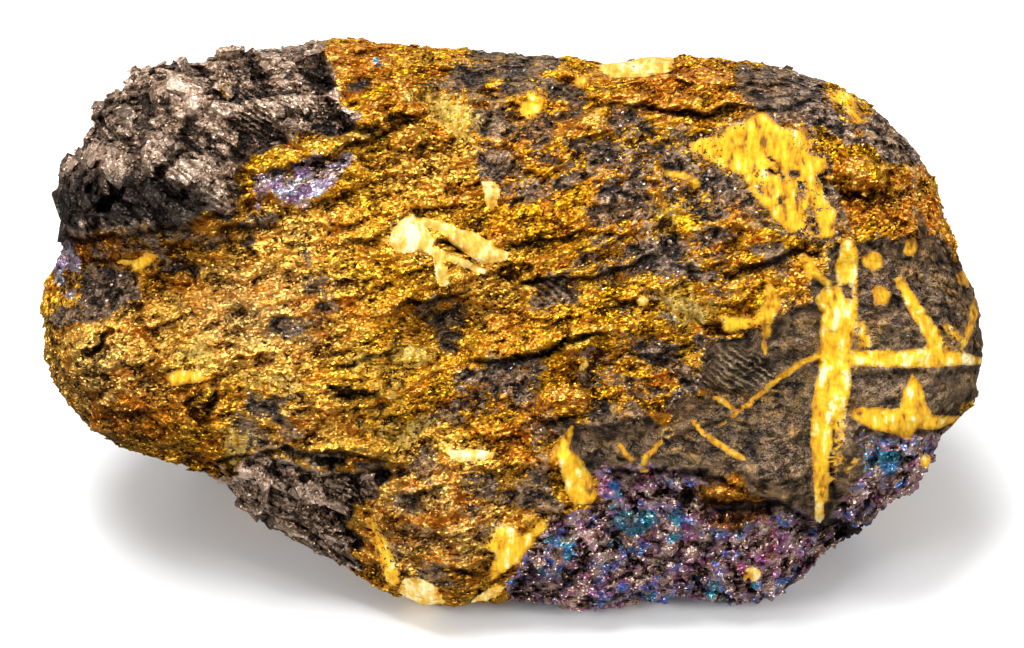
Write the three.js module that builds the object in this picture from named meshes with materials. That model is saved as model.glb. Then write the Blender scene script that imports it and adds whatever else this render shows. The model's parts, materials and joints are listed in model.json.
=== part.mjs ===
// A palm-sized lump of massive chalcopyrite ore, broken on every side, lying on its flattest break.
// It grew as one mass, so it is one solid. All sizes are in millimetres, +Z up.
//
// The lump is shaped in the frame of its broad front face, which leans back from the vertical:
// u runs along the face to the right, v up the face, and w straight out of it.
import * as THREE from "three";
import { ImprovedNoise } from "three/addons/math/ImprovedNoise.js";
import { mergeVertices } from "three/addons/utils/BufferGeometryUtils.js";

// Driving dimensions
const HALF_LENGTH = 50; // of the broad face, along u
const HALF_WIDTH = 30; // of the broad face, along v
const FRONT_DEPTH = 11; // from the rim out to the crest of the broad face
const BACK_DEPTH = 44; // from the rim back to the hidden side, before its breaks
const FACE_ELEVATION = THREE.MathUtils.degToRad(38); // how far the face looks up from level
const BASE_BELOW_MIDDLE = 24.4; // height of the face's middle over the break that it lies on
const HEART = new THREE.Vector3(0, 1, -13); // a point well inside, which every break is measured from

// How the skin is sampled
const SKIN_DETAIL = 19; // 20 * (SKIN_DETAIL + 1)^2 triangles
const FRONT_SHARE = 1.3; // above 1, more of the triangles lie on the broad face
const FRONT_SQUARENESS = 3.4; // 2 is an ellipsoid, higher is a flatter face with a tighter edge
const BACK_SQUARENESS = 2.7;

const COLOUR = 0xa8741f; // tarnished brassy gold
const ROUGHNESS = 0.42;
const METALNESS = 0.85;

// The rim of the broad face, counter-clockwise from the right-hand end, as [u, v].
const RIM = [
  [49.8, -3], [49.2, 2.5], [46.6, 8], [45, 14.5], [42, 19.3], [38, 23], [34.5, 25.2], [29, 27],
  [22.5, 27.7], [16.5, 28.3], [9, 27.3], [5, 28.3], [-3, 28.9], [-12, 29.4], [-21.5, 30.2],
  [-27, 29.6], [-32, 28.6], [-34.8, 27.5], [-37.5, 28.2], [-40, 27], [-42.3, 24.2], [-44.5, 23.4],
  [-44.8, 21], [-47.3, 16.8], [-48.5, 12.5], [-48.2, 10.3], [-46.9, 8.2], [-48.6, 5.8], [-50, 2],
  [-49.3, -0.6], [-49.8, -2.8], [-48.4, -6.4], [-44.9, -10.7], [-40.5, -13.3], [-32.8, -15.2],
  [-30, -17.3], [-28.2, -20], [-21.5, -23.6], [-14.5, -27.5], [-9.2, -29.9], [0, -29.1],
  [7.5, -30.2], [12, -29.8], [17, -28.8], [26.6, -29.5], [30, -27.5], [31.8, -25], [37.8, -20.7],
  [39.2, -18.4], [42.2, -17.8], [43.8, -15], [46.3, -10.4], [49, -8.7],
];

// Broad swells and hollows of the face: rise is in w, and half is the reach along u and v.
const SWELLS = [
  { at: [-37, 17.5], half: [12, 9], rise: 3.6 }, // the dark knob
  { at: [-32, -4], half: [16, 9], rise: 2.6 }, // the left shoulder
  { at: [-12, 8], half: [14, 9], rise: 1.6 }, // the gold belly
  { at: [-6, 0], half: [6, 4], rise: -2.4 }, // a pit in the middle
  { at: [37, 3], half: [13, 12], rise: 1.2 }, // the slab that the veins cross
  { at: [15, -3], half: [14, 7], rise: -1.5 }, // the sag left of the slab
  { at: [16, -25], half: [17, 8], rise: -3.6 }, // the tarnished foot
  { at: [37, -22], half: [6, 5], rise: -4.5 }, // the undercut below the slab
  { at: [-22, -24], half: [12, 6], rise: -3.4 }, // the dark lower left
  { at: [8, 27], half: [16, 5], rise: -1.6 }, // the saddle in the top edge
];

// Ledges across the face: the rock above each line stands out by rise, the step down to the rock
// below takes run, and the rise dies away over fade.
const LEDGES = [
  // the underside of the dark knob, and of the grey block beside it
  { line: [[-52, 9], [-45, 9.4], [-38, 9.8], [-33, 11.3], [-28.5, 12]], rise: 4.6, run: 5, fade: 10 },
  { line: [[-28, 13], [-23, 15.4], [-18, 17.8], [-13, 19.4], [-9, 21.2]], rise: 1.8, run: 4, fade: 6 },
  // the long steps of the gold belly
  { line: [[-22, -7.2], [-14, -7.4], [-7, -5.5], [0, -3.6]], rise: 1.3, run: 4, fade: 5 },
  { line: [[-3, 7], [4, 8.6], [10, 11], [18, 14]], rise: 1.2, run: 4, fade: 5 },
  { line: [[0, -3.4], [8, -1.8], [16, 0.6], [25, 2.4]], rise: 1.4, run: 4, fade: 5 },
  // the foot of the slab, and the edges over the tarnished foot and the undercut
  { line: [[2, -15], [12, -14], [22, -16.5], [31, -20]], rise: 1.6, run: 4, fade: 6 },
  { line: [[32, -20.5], [38, -17.2], [46, -14]], rise: 2.2, run: 5, fade: 6 },
  { line: [[6, 22.6], [14, 21.4], [24, 21.6], [33, 20]], rise: 1.2, run: 4, fade: 5 },
];

// Flat breaks that bound the hidden sides: each normal is in the face's frame, and distance is
// measured from HEART.
const BREAKS = [
  { normal: [0.02, 0.3, -0.95], distance: 22 },
  { normal: [0.55, 0.35, -0.75], distance: 29 },
  { normal: [-0.62, 0.28, -0.73], distance: 30 },
  { normal: [0.72, -0.25, -0.64], distance: 31.5 },
  { normal: [-0.66, -0.38, -0.65], distance: 31 },
  { normal: [0.12, 0.8, -0.58], distance: 25.5 },
  { normal: [-0.2, -0.15, -0.97], distance: 24.5 },
  { normal: [-0.4, 0.74, -0.54], distance: 31 },
  { normal: [0.5, 0.72, -0.48], distance: 32 },
];

// Unevenness of the broad face and of the hidden sides: rough waves, each [wavelength, height].
// The starts keep the two from matching.
const FACE_WAVES = { list: [[17, 1.3], [7.5, 0.75], [3.8, 0.35]], start: 3.7 };
const HIDDEN_WAVES = { list: [[21, 1.5], [8, 0.9], [3.8, 0.4]], start: 11.3 };

// How soon the unevenness comes in from the rim, where 0 is the rim and 1 the middle of a side.
const FACE_BLEND = 0.45;
const HIDDEN_BLEND = 0.3;

const LEDGE_TIP = 3; // over this length a ledge rises from nothing at each of its ends

const noise = new ImprovedNoise();

function waves(point, { list, start }) {
  let sum = 0;
  for (const [length, height] of list) {
    const p = point.clone().divideScalar(length).addScalar(start);
    sum += height * noise.noise(p.x, p.y, p.z);
  }
  return sum;
}

// How far the rim is from the middle of the face in the direction of angle.
function rimReach(angle) {
  const [du, dv] = [Math.cos(angle), Math.sin(angle)];
  for (let i = 0; i < RIM.length; i++) {
    const [au, av] = RIM[i];
    const [bu, bv] = RIM[(i + 1) % RIM.length];
    const across = du * (bv - av) - dv * (bu - au);
    if (Math.abs(across) < 1e-9) continue;
    const reach = (au * (bv - av) - av * (bu - au)) / across;
    const along = (au * dv - av * du) / across;
    if (reach > 0 && along >= 0 && along <= 1) return reach;
  }
  throw new Error("the rim does not enclose the middle of the face");
}

// The height of a line at u, and how far u is inside its two ends.
function lineAt(line, u) {
  const inside = Math.min(u - line[0][0], line.at(-1)[0] - u);
  for (let i = 0; i + 1 < line.length; i++) {
    const [[au, av], [bu, bv]] = [line[i], line[i + 1]];
    if (u <= bu || i + 2 === line.length) {
      const t = THREE.MathUtils.clamp((u - au) / (bu - au), 0, 1);
      return { v: av + t * (bv - av), inside };
    }
  }
}

function ledgeRise({ line, rise, run, fade }, u, v) {
  const edge = lineAt(line, u);
  const above = v - edge.v;
  const ends = THREE.MathUtils.smoothstep(edge.inside, 0, LEDGE_TIP);
  const riser = THREE.MathUtils.smoothstep(above, -run, 0);
  return rise * ends * riser * Math.exp(-Math.max(0, above) / fade);
}

// The relief of the broad face at a place on it, in w.
function relief(u, v) {
  let w = 0;
  for (const { at, half, rise } of SWELLS) {
    const r = Math.hypot((u - at[0]) / half[0], (v - at[1]) / half[1]);
    w += rise * Math.exp(-r * r);
  }
  for (const ledge of LEDGES) w += ledgeRise(ledge, u, v);
  return w;
}

// The place in the face's frame that a direction of the unit sphere is moved to.
function skinPoint(direction) {
  const polar = Math.PI * (Math.acos(direction.z) / Math.PI) ** FRONT_SHARE;
  const front = polar < Math.PI / 2;
  const p = front ? FRONT_SQUARENESS : BACK_SQUARENESS;
  const [s, c] = [Math.sin(polar), Math.abs(Math.cos(polar))];
  const norm = (s ** p + c ** p) ** (1 / p);
  const angle = Math.atan2(HALF_WIDTH * direction.y, HALF_LENGTH * direction.x);
  const reach = rimReach(angle) * (s / norm);
  const point = new THREE.Vector3(
    reach * Math.cos(angle),
    reach * Math.sin(angle),
    (front ? FRONT_DEPTH : -BACK_DEPTH) * (c / norm),
  );
  if (front) {
    const blend = THREE.MathUtils.smoothstep(c / norm, 0, FACE_BLEND);
    point.z += blend * (relief(point.x, point.y) + waves(point, FACE_WAVES));
    return point;
  }
  breakOff(point);
  const blend = THREE.MathUtils.smoothstep(c / norm, 0, HIDDEN_BLEND);
  const outward = point.clone().sub(HEART).normalize();
  return point.addScaledVector(outward, blend * waves(point, HIDDEN_WAVES));
}

// Pulls a point that lies outside a break back towards HEART, on to the break.
function breakOff(point) {
  const fromHeart = point.clone().sub(HEART);
  for (const { normal, distance } of BREAKS) {
    const out = fromHeart.dot(new THREE.Vector3(...normal).normalize());
    if (out > distance) fromHeart.multiplyScalar(distance / out);
  }
  point.copy(HEART).add(fromHeart);
}

// From the face's frame to the lump's own: x right, y away from the face's foot, z up.
function standing(point) {
  const [s, c] = [Math.sin(FACE_ELEVATION), Math.cos(FACE_ELEVATION)];
  const { x: u, y: v, z: w } = point;
  return new THREE.Vector3(u, v * s - w * c, v * c + w * s + BASE_BELOW_MIDDLE);
}

// Brings what lies below the break that the lump rests on up to it, along lines from the heart.
function layOnBase(point) {
  if (point.z >= 0) return point;
  const heart = standing(HEART);
  const share = heart.z / (heart.z - point.z);
  return new THREE.Vector3(
    heart.x + (point.x - heart.x) * share,
    heart.y + (point.y - heart.y) * share,
    0,
  );
}

function lumpGeometry() {
  let skin = new THREE.IcosahedronGeometry(1, SKIN_DETAIL);
  skin.deleteAttribute("normal");
  skin.deleteAttribute("uv");
  skin = mergeVertices(skin, 1e-5);
  const place = skin.getAttribute("position");
  for (let i = 0; i < place.count; i++) {
    const direction = new THREE.Vector3().fromBufferAttribute(place, i).normalize();
    const { x, y, z } = layOnBase(standing(skinPoint(direction)));
    place.setXYZ(i, x, y, z);
  }
  // The origin is under the middle of the lump, on the base.
  skin.computeBoundingBox();
  const middle = skin.boundingBox.getCenter(new THREE.Vector3());
  skin.translate(-middle.x, -middle.y, 0);
  skin.computeVertexNormals();
  return skin;
}

const ore = new THREE.MeshStandardMaterial({ color: COLOUR, roughness: ROUGHNESS, metalness: METALNESS });
const lump = new THREE.Mesh(lumpGeometry(), ore);
lump.name = "ore_lump";

const chalcopyrite = new THREE.Group();
chalcopyrite.add(lump);

export default chalcopyrite;
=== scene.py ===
# %% [markdown]
# # A lump of chalcopyrite ore
#
# This file finishes a palm-sized lump of copper ore: brassy chalcopyrite that crumbled like foil
# where it broke, dark sulphide, a dull grey matrix, veins of yellow calcite and a foot covered in
# purple and teal tarnish. The frame gives the lump's real size and coarse shape. Everything here is
# in metres, unless a name says mm.

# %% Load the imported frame
import itertools
import json
import math
from functools import partialmethod
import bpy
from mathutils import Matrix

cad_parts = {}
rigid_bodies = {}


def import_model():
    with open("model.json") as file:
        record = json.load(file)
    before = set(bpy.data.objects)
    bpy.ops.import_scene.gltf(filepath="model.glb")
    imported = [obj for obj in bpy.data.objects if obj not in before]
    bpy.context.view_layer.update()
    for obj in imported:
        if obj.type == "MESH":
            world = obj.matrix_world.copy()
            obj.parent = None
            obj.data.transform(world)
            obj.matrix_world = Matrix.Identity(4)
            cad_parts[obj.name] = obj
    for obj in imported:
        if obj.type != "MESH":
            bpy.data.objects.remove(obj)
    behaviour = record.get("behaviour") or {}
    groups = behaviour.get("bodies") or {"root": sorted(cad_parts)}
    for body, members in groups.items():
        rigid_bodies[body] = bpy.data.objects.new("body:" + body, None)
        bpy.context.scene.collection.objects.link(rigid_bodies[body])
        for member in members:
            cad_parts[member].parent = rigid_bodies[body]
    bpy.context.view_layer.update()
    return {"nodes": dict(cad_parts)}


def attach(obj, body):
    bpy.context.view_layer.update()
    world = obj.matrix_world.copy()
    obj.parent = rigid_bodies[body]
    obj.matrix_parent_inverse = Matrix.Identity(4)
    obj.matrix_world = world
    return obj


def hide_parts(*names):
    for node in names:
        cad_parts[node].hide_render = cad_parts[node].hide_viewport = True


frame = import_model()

from types import SimpleNamespace

import bmesh
import bpy
import numpy as np
from mathutils import Matrix, Vector

lump_node = frame["nodes"]["ore_lump"]

# %% [markdown]
# ## The broad face
#
# The lump lies on its flattest break and its broad face leans back, so that it looks up at 38
# degrees. The minerals on it are easiest to place in the face's own directions: u to the right, v up
# the face and w straight out of it, in millimetres from the middle of the face. Three unit vectors
# carry points from one frame to the other.

# %% The face's own directions
MM = 0.001
FACE_ELEVATION = math.radians(38)
RIM_BEHIND_CREST = 14.0  # from the frontmost point of the face back to its rim
face_axes = np.array([
    [1, 0, 0],
    [0, math.sin(FACE_ELEVATION), math.cos(FACE_ELEVATION)],
    [0, -math.cos(FACE_ELEVATION), math.sin(FACE_ELEVATION)],
])
cad_points = np.array([vertex.co for vertex in lump_node.data.vertices]) / MM
on_face_axes = cad_points @ face_axes.T
face_middle = (on_face_axes.min(0) + on_face_axes.max(0)) / 2
face_middle[2] = on_face_axes[:, 2].max() - RIM_BEHIND_CREST

def to_face(points_mm):
    return points_mm @ face_axes.T - face_middle

def from_face(points_uvw):
    return (points_uvw + face_middle) @ face_axes

face_span = np.ptp(on_face_axes, axis=0)
print("the broad face is", face_span[0].round(1), "by", face_span[1].round(1), "mm")

# %% [markdown]
# ## Shader maths that reads as maths
#
# A material is a tree of nodes. Written by hand, three lines of algebra become thirty lines of
# links, so a small class wraps a node's output and lets Python's own operators add the Math nodes.
# Every other kind of node comes from one method, which sets a node's settings before its inputs.

# %% Wires
class Wire:
    """One number or colour that leaves a node, ready for Python's operators."""

    def __init__(self, bench, socket):
        self.bench = bench
        self.socket = socket

    def maths(self, operation, *others, clamp=False):
        """One Math node. Each operator below is this method with its operation filled in."""
        numbered = dict(enumerate((self, *others)))
        settings = {"operation": operation, "use_clamp": clamp}
        return self.bench.add("ShaderNodeMath", settings, numbered)

    __add__ = __radd__ = partialmethod(maths, "ADD")
    __sub__ = partialmethod(maths, "SUBTRACT")
    __mul__ = __rmul__ = partialmethod(maths, "MULTIPLY")
    __truediv__ = partialmethod(maths, "DIVIDE")
    __neg__ = partialmethod(maths, "MULTIPLY", -1.0)
    clip = partialmethod(maths, "ADD", 0.0, clamp=True)
    most = partialmethod(maths, "MAXIMUM")

    def __rsub__(self, other):
        return self.bench.add("ShaderNodeMath", {"operation": "SUBTRACT"}, {0: other, 1: self})

    def rise(self, low, high):
        """0 up to low, 1 from high, and a smooth rise between."""
        settings = {"interpolation_type": "SMOOTHSTEP"}
        return self.bench.add("ShaderNodeMapRange", settings, {"Value": self, 1: low, 2: high})

print("a wire is ready for +, -, * and /")

# %% Benches
class Bench:
    """A node tree, and the one way that nodes get into it."""

    def __init__(self, tree):
        self.tree = tree
        self.tree.nodes.clear()
        self.attributes = {}

    def add(self, kind, settings=None, inputs=None, output=0):
        node = self.tree.nodes.new(kind)
        for key, value in (settings or {}).items():
            if key == "stops":
                set_stops(node.color_ramp, value)
            else:
                setattr(node, key, value)
        for key, value in (inputs or {}).items():
            if isinstance(value, Wire):
                self.tree.links.new(value.socket, node.inputs[key])
            else:
                node.inputs[key].default_value = value
        if output is None:
            return [Wire(self, socket) for socket in node.outputs]
        return Wire(self, node.outputs[output])

    def attribute(self, name):
        if name not in self.attributes:
            self.attributes[name] = self.add("ShaderNodeAttribute", {"attribute_name": name}, output="Fac")
        return self.attributes[name]

    def mix(self, first, second, share):
        """A colour: first where share is 0, second where it is 1."""
        settings = {"data_type": "RGBA", "clamp_factor": True}
        inputs = {0: share, 6: opaque(first), 7: opaque(second)}
        return self.add("ShaderNodeMix", settings, inputs, output=2)

    def ramp(self, wire, stops):
        return self.add("ShaderNodeValToRGB", {"stops": stops}, {0: wire})

    def vector(self, operation, *operands, output=0):
        inputs = dict(enumerate(operands))
        return self.add("ShaderNodeVectorMath", {"operation": operation}, inputs, output)

    def scaled(self, vector, factor):
        return self.add("ShaderNodeVectorMath", {"operation": "SCALE"}, {0: vector, "Scale": factor})

def new_material(name):
    material = bpy.data.materials.new(name)
    material.use_nodes = True
    return material, Bench(material.node_tree)

def opaque(colour):
    return colour if isinstance(colour, Wire) else (*colour, 1.0)

def set_stops(ramp, stops):
    while len(ramp.elements) < len(stops):
        ramp.elements.new(1.0)
    for element, (position, colour) in zip(ramp.elements, stops):
        element.position = position
        element.color = (*colour, 1.0)

print("the bench is ready")

# %% [markdown]
# ## Camera, floor and light
#
# A pale floor and large soft lamps, as for a catalogue. A bright sky alone could light the lump, but
# metal shows what it reflects and would look like milk. So the lamps have gaps between them: a facet
# that meets a lamp flashes, and its neighbour stays dark. The floor is kept out of the reflections
# for the same reason, or every underside would shine white.

# %% The camera looks straight at the broad face
LENS = 200.0
FRAME_WIDTH = 0.1085  # of the plane through the middle of the face
SENSOR = 36.0

def into_scene(name, data):
    thing = bpy.data.objects.new(name, data)
    bpy.context.scene.collection.objects.link(thing)
    return thing

middle_of_face = Vector(from_face(np.zeros(3)) * MM)
towards_camera = Vector(face_axes[2])
camera_data = bpy.data.cameras.new("camera")
camera_data.lens = LENS
camera_data.sensor_width = SENSOR
camera_data.clip_start = 0.01
camera = into_scene("camera", camera_data)
camera.location = middle_of_face + towards_camera * FRAME_WIDTH * LENS / SENSOR
camera.rotation_euler = towards_camera.to_track_quat("Z", "Y").to_euler()
bpy.context.scene.camera = camera
bpy.context.scene.view_settings.view_transform = "Standard"
print("the camera stands", round(camera.location.length, 3), "m away")

# %% Lamps and surroundings
def softbox(name, place, size, watts, aim=(0, 0, 0.02)):
    lamp = bpy.data.lights.new(name, "AREA")
    lamp.shape = "RECTANGLE"
    lamp.size, lamp.size_y = size
    lamp.energy = watts
    holder = into_scene(name, lamp)
    holder.location = place
    holder.rotation_euler = (Vector(place) - Vector(aim)).to_track_quat("Z", "Y").to_euler()

softbox("overhead", (-0.16, 0.1, 0.75), (0.44, 0.38), 7.4)
softbox("front_left", (-0.6, -0.45, 0.5), (0.34, 0.34), 3.4)
softbox("front_right", (0.6, -0.4, 0.42), (0.2, 0.3), 2.8)
softbox("behind", (0.15, 0.75, 0.3), (0.5, 0.3), 1.5)

SKY_GREYS = [(0.35, 0.24), (0.52, 0.2), (0.75, 0.6), (1.0, 0.9)]  # from straight down to straight up
SKY_STRENGTH = 0.75

def studio_sky():
    """Light from all round: bright from above, dim from the side and dark from below."""
    world = bpy.data.worlds.new("studio")
    world.use_nodes = True
    bench = Bench(world.node_tree)
    upward = bench.add("ShaderNodeTexCoord", output="Generated")
    height = bench.add("ShaderNodeSeparateXYZ", None, {0: upward}, output="Z")
    brightness = bench.ramp(height * 0.5 + 0.5, [(place, (grey, grey, grey)) for place, grey in SKY_GREYS])
    sky = bench.add("ShaderNodeBackground", None, {"Color": brightness, "Strength": SKY_STRENGTH})
    bench.add("ShaderNodeOutputWorld", None, {"Surface": sky}, output=None)
    return world

bpy.context.scene.world = studio_sky()

# %% The floor
FLOOR_HALF = 3.0
PAPER = (0.88, 0.88, 0.88, 1)

def pale_paper():
    material, bench = new_material("pale_paper")
    inputs = {"Base Color": PAPER, "Roughness": 0.9}
    surface = bench.add("ShaderNodeBsdfPrincipled", None, inputs)
    bench.add("ShaderNodeOutputMaterial", None, {"Surface": surface}, output=None)
    return material

floor_mesh = bpy.data.meshes.new("floor")
corners = [(x * FLOOR_HALF, y * FLOOR_HALF, 0) for x, y in ((-1, -1), (1, -1), (1, 1), (-1, 1))]
floor_mesh.from_pydata(corners, [], [(0, 1, 2, 3)])
floor_mesh.materials.append(pale_paper())
floor = into_scene("floor", floor_mesh)
floor.visible_glossy = False
print("the floor is", 2 * FLOOR_HALF, "m wide")

# %% [markdown]
# ## Noise and grains to sculpt with
#
# Broken ore is rough at every size. A Displace modifier could roughen it, but every mineral breaks
# in its own way. So the roughness is worked out from two building blocks that each mineral mixes for
# itself: smooth waves, and grains, which cut space into cells so that each can tilt its own way, as
# broken crystals do. Both work on all the points of the mesh at once, and both come from whole-number
# arithmetic, so that they give the same rock each time.

# %% Waves and grains
def scramble(cells, seed):
    """A repeatable random whole number under 2**32 for each whole-number place."""
    mixed = cells[..., 0] * 73856093 ^ cells[..., 1] * 19349663 ^ cells[..., 2] * 83492791
    mixed = (mixed ^ seed * 40503) & 0xFFFFFFFF
    for _ in range(2):
        mixed = ((mixed ^ (mixed >> 15)) * 739982445) & 0xFFFFFFFF
    return mixed ^ (mixed >> 13)

def three_randoms(whole):
    """Three numbers from -1 to 1 out of each random whole number."""
    parts = [whole & 1023, (whole >> 10) & 1023, (whole >> 20) & 1023]
    return np.stack(parts, axis=-1) / 511.5 - 1

def waves(points, length, seed):
    """Smooth noise from about -1 to 1, with waves about length across."""
    scaled = points / length
    cell = np.floor(scaled).astype(np.int64)
    inside = scaled - cell
    eased = inside ** 3 * (inside * (inside * 6 - 15) + 10)
    total = np.zeros(len(points))
    for corner in itertools.product((0, 1), repeat=3):
        slope = three_randoms(scramble(cell + corner, seed))
        share = np.where(corner, eased, 1 - eased).prod(axis=-1)
        total += share * (slope * (inside - corner)).sum(axis=-1)
    return total * 1.5

def rough(points, length, seed, octaves=3):
    """Waves upon waves, each half as long and half as high as the last."""
    layers = [waves(points, length / 2 ** k, seed + k) / 2 ** k for k in range(octaves)]
    return sum(layers)

def grains(points, size, seed):
    """For each point: how far it is from its grain's middle, three random numbers of that grain,
    and the distance to the grain's border, all in the points' own unit."""
    scaled = points / size
    cell = np.floor(scaled).astype(np.int64)
    nearest = np.full(len(points), np.inf)
    second = nearest.copy()
    middle = np.zeros_like(points)
    nearest_cell = cell.copy()
    for step in itertools.product((-1, 0, 1), repeat=3):
        whole = scramble(cell + step, seed)
        seat = cell + step + 0.5 + 0.45 * three_randoms(whole)
        apart = np.linalg.norm(scaled - seat, axis=-1)
        closer = apart < nearest
        second = np.where(closer, nearest, np.minimum(second, apart))
        nearest = np.where(closer, apart, nearest)
        middle[closer] = seat[closer]
        nearest_cell[closer] = (cell + step)[closer]
    numbers = three_randoms(scramble(nearest_cell, seed + 77))
    return (scaled - middle) * size, numbers, (second - nearest) * size / 2

def rise(values, low, high):
    """0 up to low, 1 from high, and a smooth rise between."""
    share = np.clip((values - low) / (high - low), 0, 1)
    return share * share * (3 - 2 * share)

test_place = np.array([[1.0, 2.0, 3.0]])
print("the noise at one place is", rough(test_place, 5.0, 1).round(4))

# %% [markdown]
# ## Where each mineral lies
#
# The real lump's patches and veins have shapes that noise would never hit on, and paint would be
# blurred close up. So every mineral on the broad face is given by outlines and by spines. An outline
# is a ring of (u, v) corners in millimetres; a spine is a vein's middle line with its half width at
# each point. Their borders get ragged later, when the points that are looked up are pushed about by
# waves, so an outline only needs the corners that its shape has.

# %% Calcite: patches and veins
calcite_patches = {
    "crown": [
        (18.2, 18.5), (20, 19.6), (22.2, 20), (22.5, 20.9), (24.6, 21.4), (26, 22.4), (27.3, 21.4),
        (28, 20.5), (30.9, 20.6), (31.3, 19.2), (30.9, 17.8), (32.8, 17.4), (33.2, 16.3), (31.8, 15.7),
        (33, 13), (34, 11.8), (33.6, 9), (31, 8.8), (30.4, 9.7), (28.7, 9.6), (27, 11.4), (25, 13.6),
        (24.1, 15.6), (22.2, 16.2), (20, 17.3),
    ],
    "fan": [
        (35.4, -8.9), (37.3, -8.7), (40.6, -8.9), (40.8, -7.2), (41.9, -5.1), (42.9, -6.3),
        (43.6, -8.6), (44.2, -9.5), (47.5, -9.8), (45.9, -10.7), (44.8, -11.2), (42.5, -11),
        (41.5, -12.2), (40, -11.5), (38, -11.2), (36.3, -10.3), (35.4, -9.7),
    ],
    "flame": [
        (6.3, -10.2), (6.4, -11.4), (5.9, -12.9), (7.3, -14.2), (8.2, -15.6), (9, -18), (8.2, -18.8),
        (6.6, -19), (5.6, -17.5), (5.1, -15.3), (4.7, -13.9), (3.8, -14.6), (4, -13.4), (5.2, -11.8),
    ],
    "foot": [
        (3.2, -20.4), (3.8, -21.2), (2.2, -23), (0.8, -25), (-0.9, -26.2), (-2.2, -27.1), (-2.4, -25.8),
        (-1.6, -24.2), (-2.8, -23.4), (-1.6, -21), (0.2, -21.2), (1, -22.2),
    ],
    "bulge": [(31.6, 2.6), (32.2, 3.6), (33.3, 4), (34.2, 3.2), (34, 1.8), (33, 1.1), (32, 1.4)],
    "yellow_spot": [
        (1.6, 24.6), (2.4, 24.5), (3.4, 23.6), (3.4, 22.3), (2.2, 21.6), (0.8, 21.8), (0.8, 22.9),
    ],
    "saddle_spot": [(6.4, 25.6), (7.2, 26.4), (8.1, 25.8), (7.6, 25), (6.6, 24.9)],
    "left_streak": [
        (-41.5, 6.3), (-39.8, 6.1), (-39.3, 5.3), (-38, 6), (-36.7, 7.2), (-38, 7.5), (-39.5, 6.6),
        (-40.8, 6.8),
    ],
    "rim_right": [
        (33.2, 23.8), (34.6, 24.7), (36.4, 24.4), (36.2, 23), (36.9, 21.2), (35.9, 21), (34.9, 22.8),
    ],
    "brown_strip": [(36.1, 0.4), (36.8, 0.2), (37.8, -2.5), (36.2, -2.7)],
    "elbow": [
        (21.3, 1.2), (23, 0.8), (25.2, 0.6), (26.2, 2.2), (27.6, 2.2), (26.9, 0.2), (24.5, -0.6),
        (22.3, -0.9),
    ],
    "left_flat": [
        (-36.2, -5.1), (-34.8, -4.8), (-32.4, -4.9), (-31.6, -5.7), (-32.8, -6.1), (-34.5, -6.3),
        (-35.9, -6.6),
    ],
    "rim_foot": [(42.8, -13.5), (44.2, -13.8), (44.2, -15), (43, -15)],
}
honey_pebbles = {
    "a": [(41.0, 7.4), (41.3, 8.9), (42.3, 9.1), (42.7, 8.1), (42.0, 6.9)],
    "b": [(36.5, 7.0), (37.6, 7.7), (38.9, 7.1), (38.7, 5.9), (37.6, 5.5), (36.7, 6.1)],
    "c": [(37.4, 3.6), (38.6, 4.1), (39.7, 3.3), (39.3, 2.1), (38.0, 2.0)],
    "d": [(46.7, 5.3), (47.8, 5.8), (48.8, 5.0), (48.1, 3.9), (47.0, 4.2)],
    "e": [(30.4, 6.4), (31.3, 6.6), (31.6, 5.2), (31.0, 4.4), (30.5, 5.2)],
}
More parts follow.
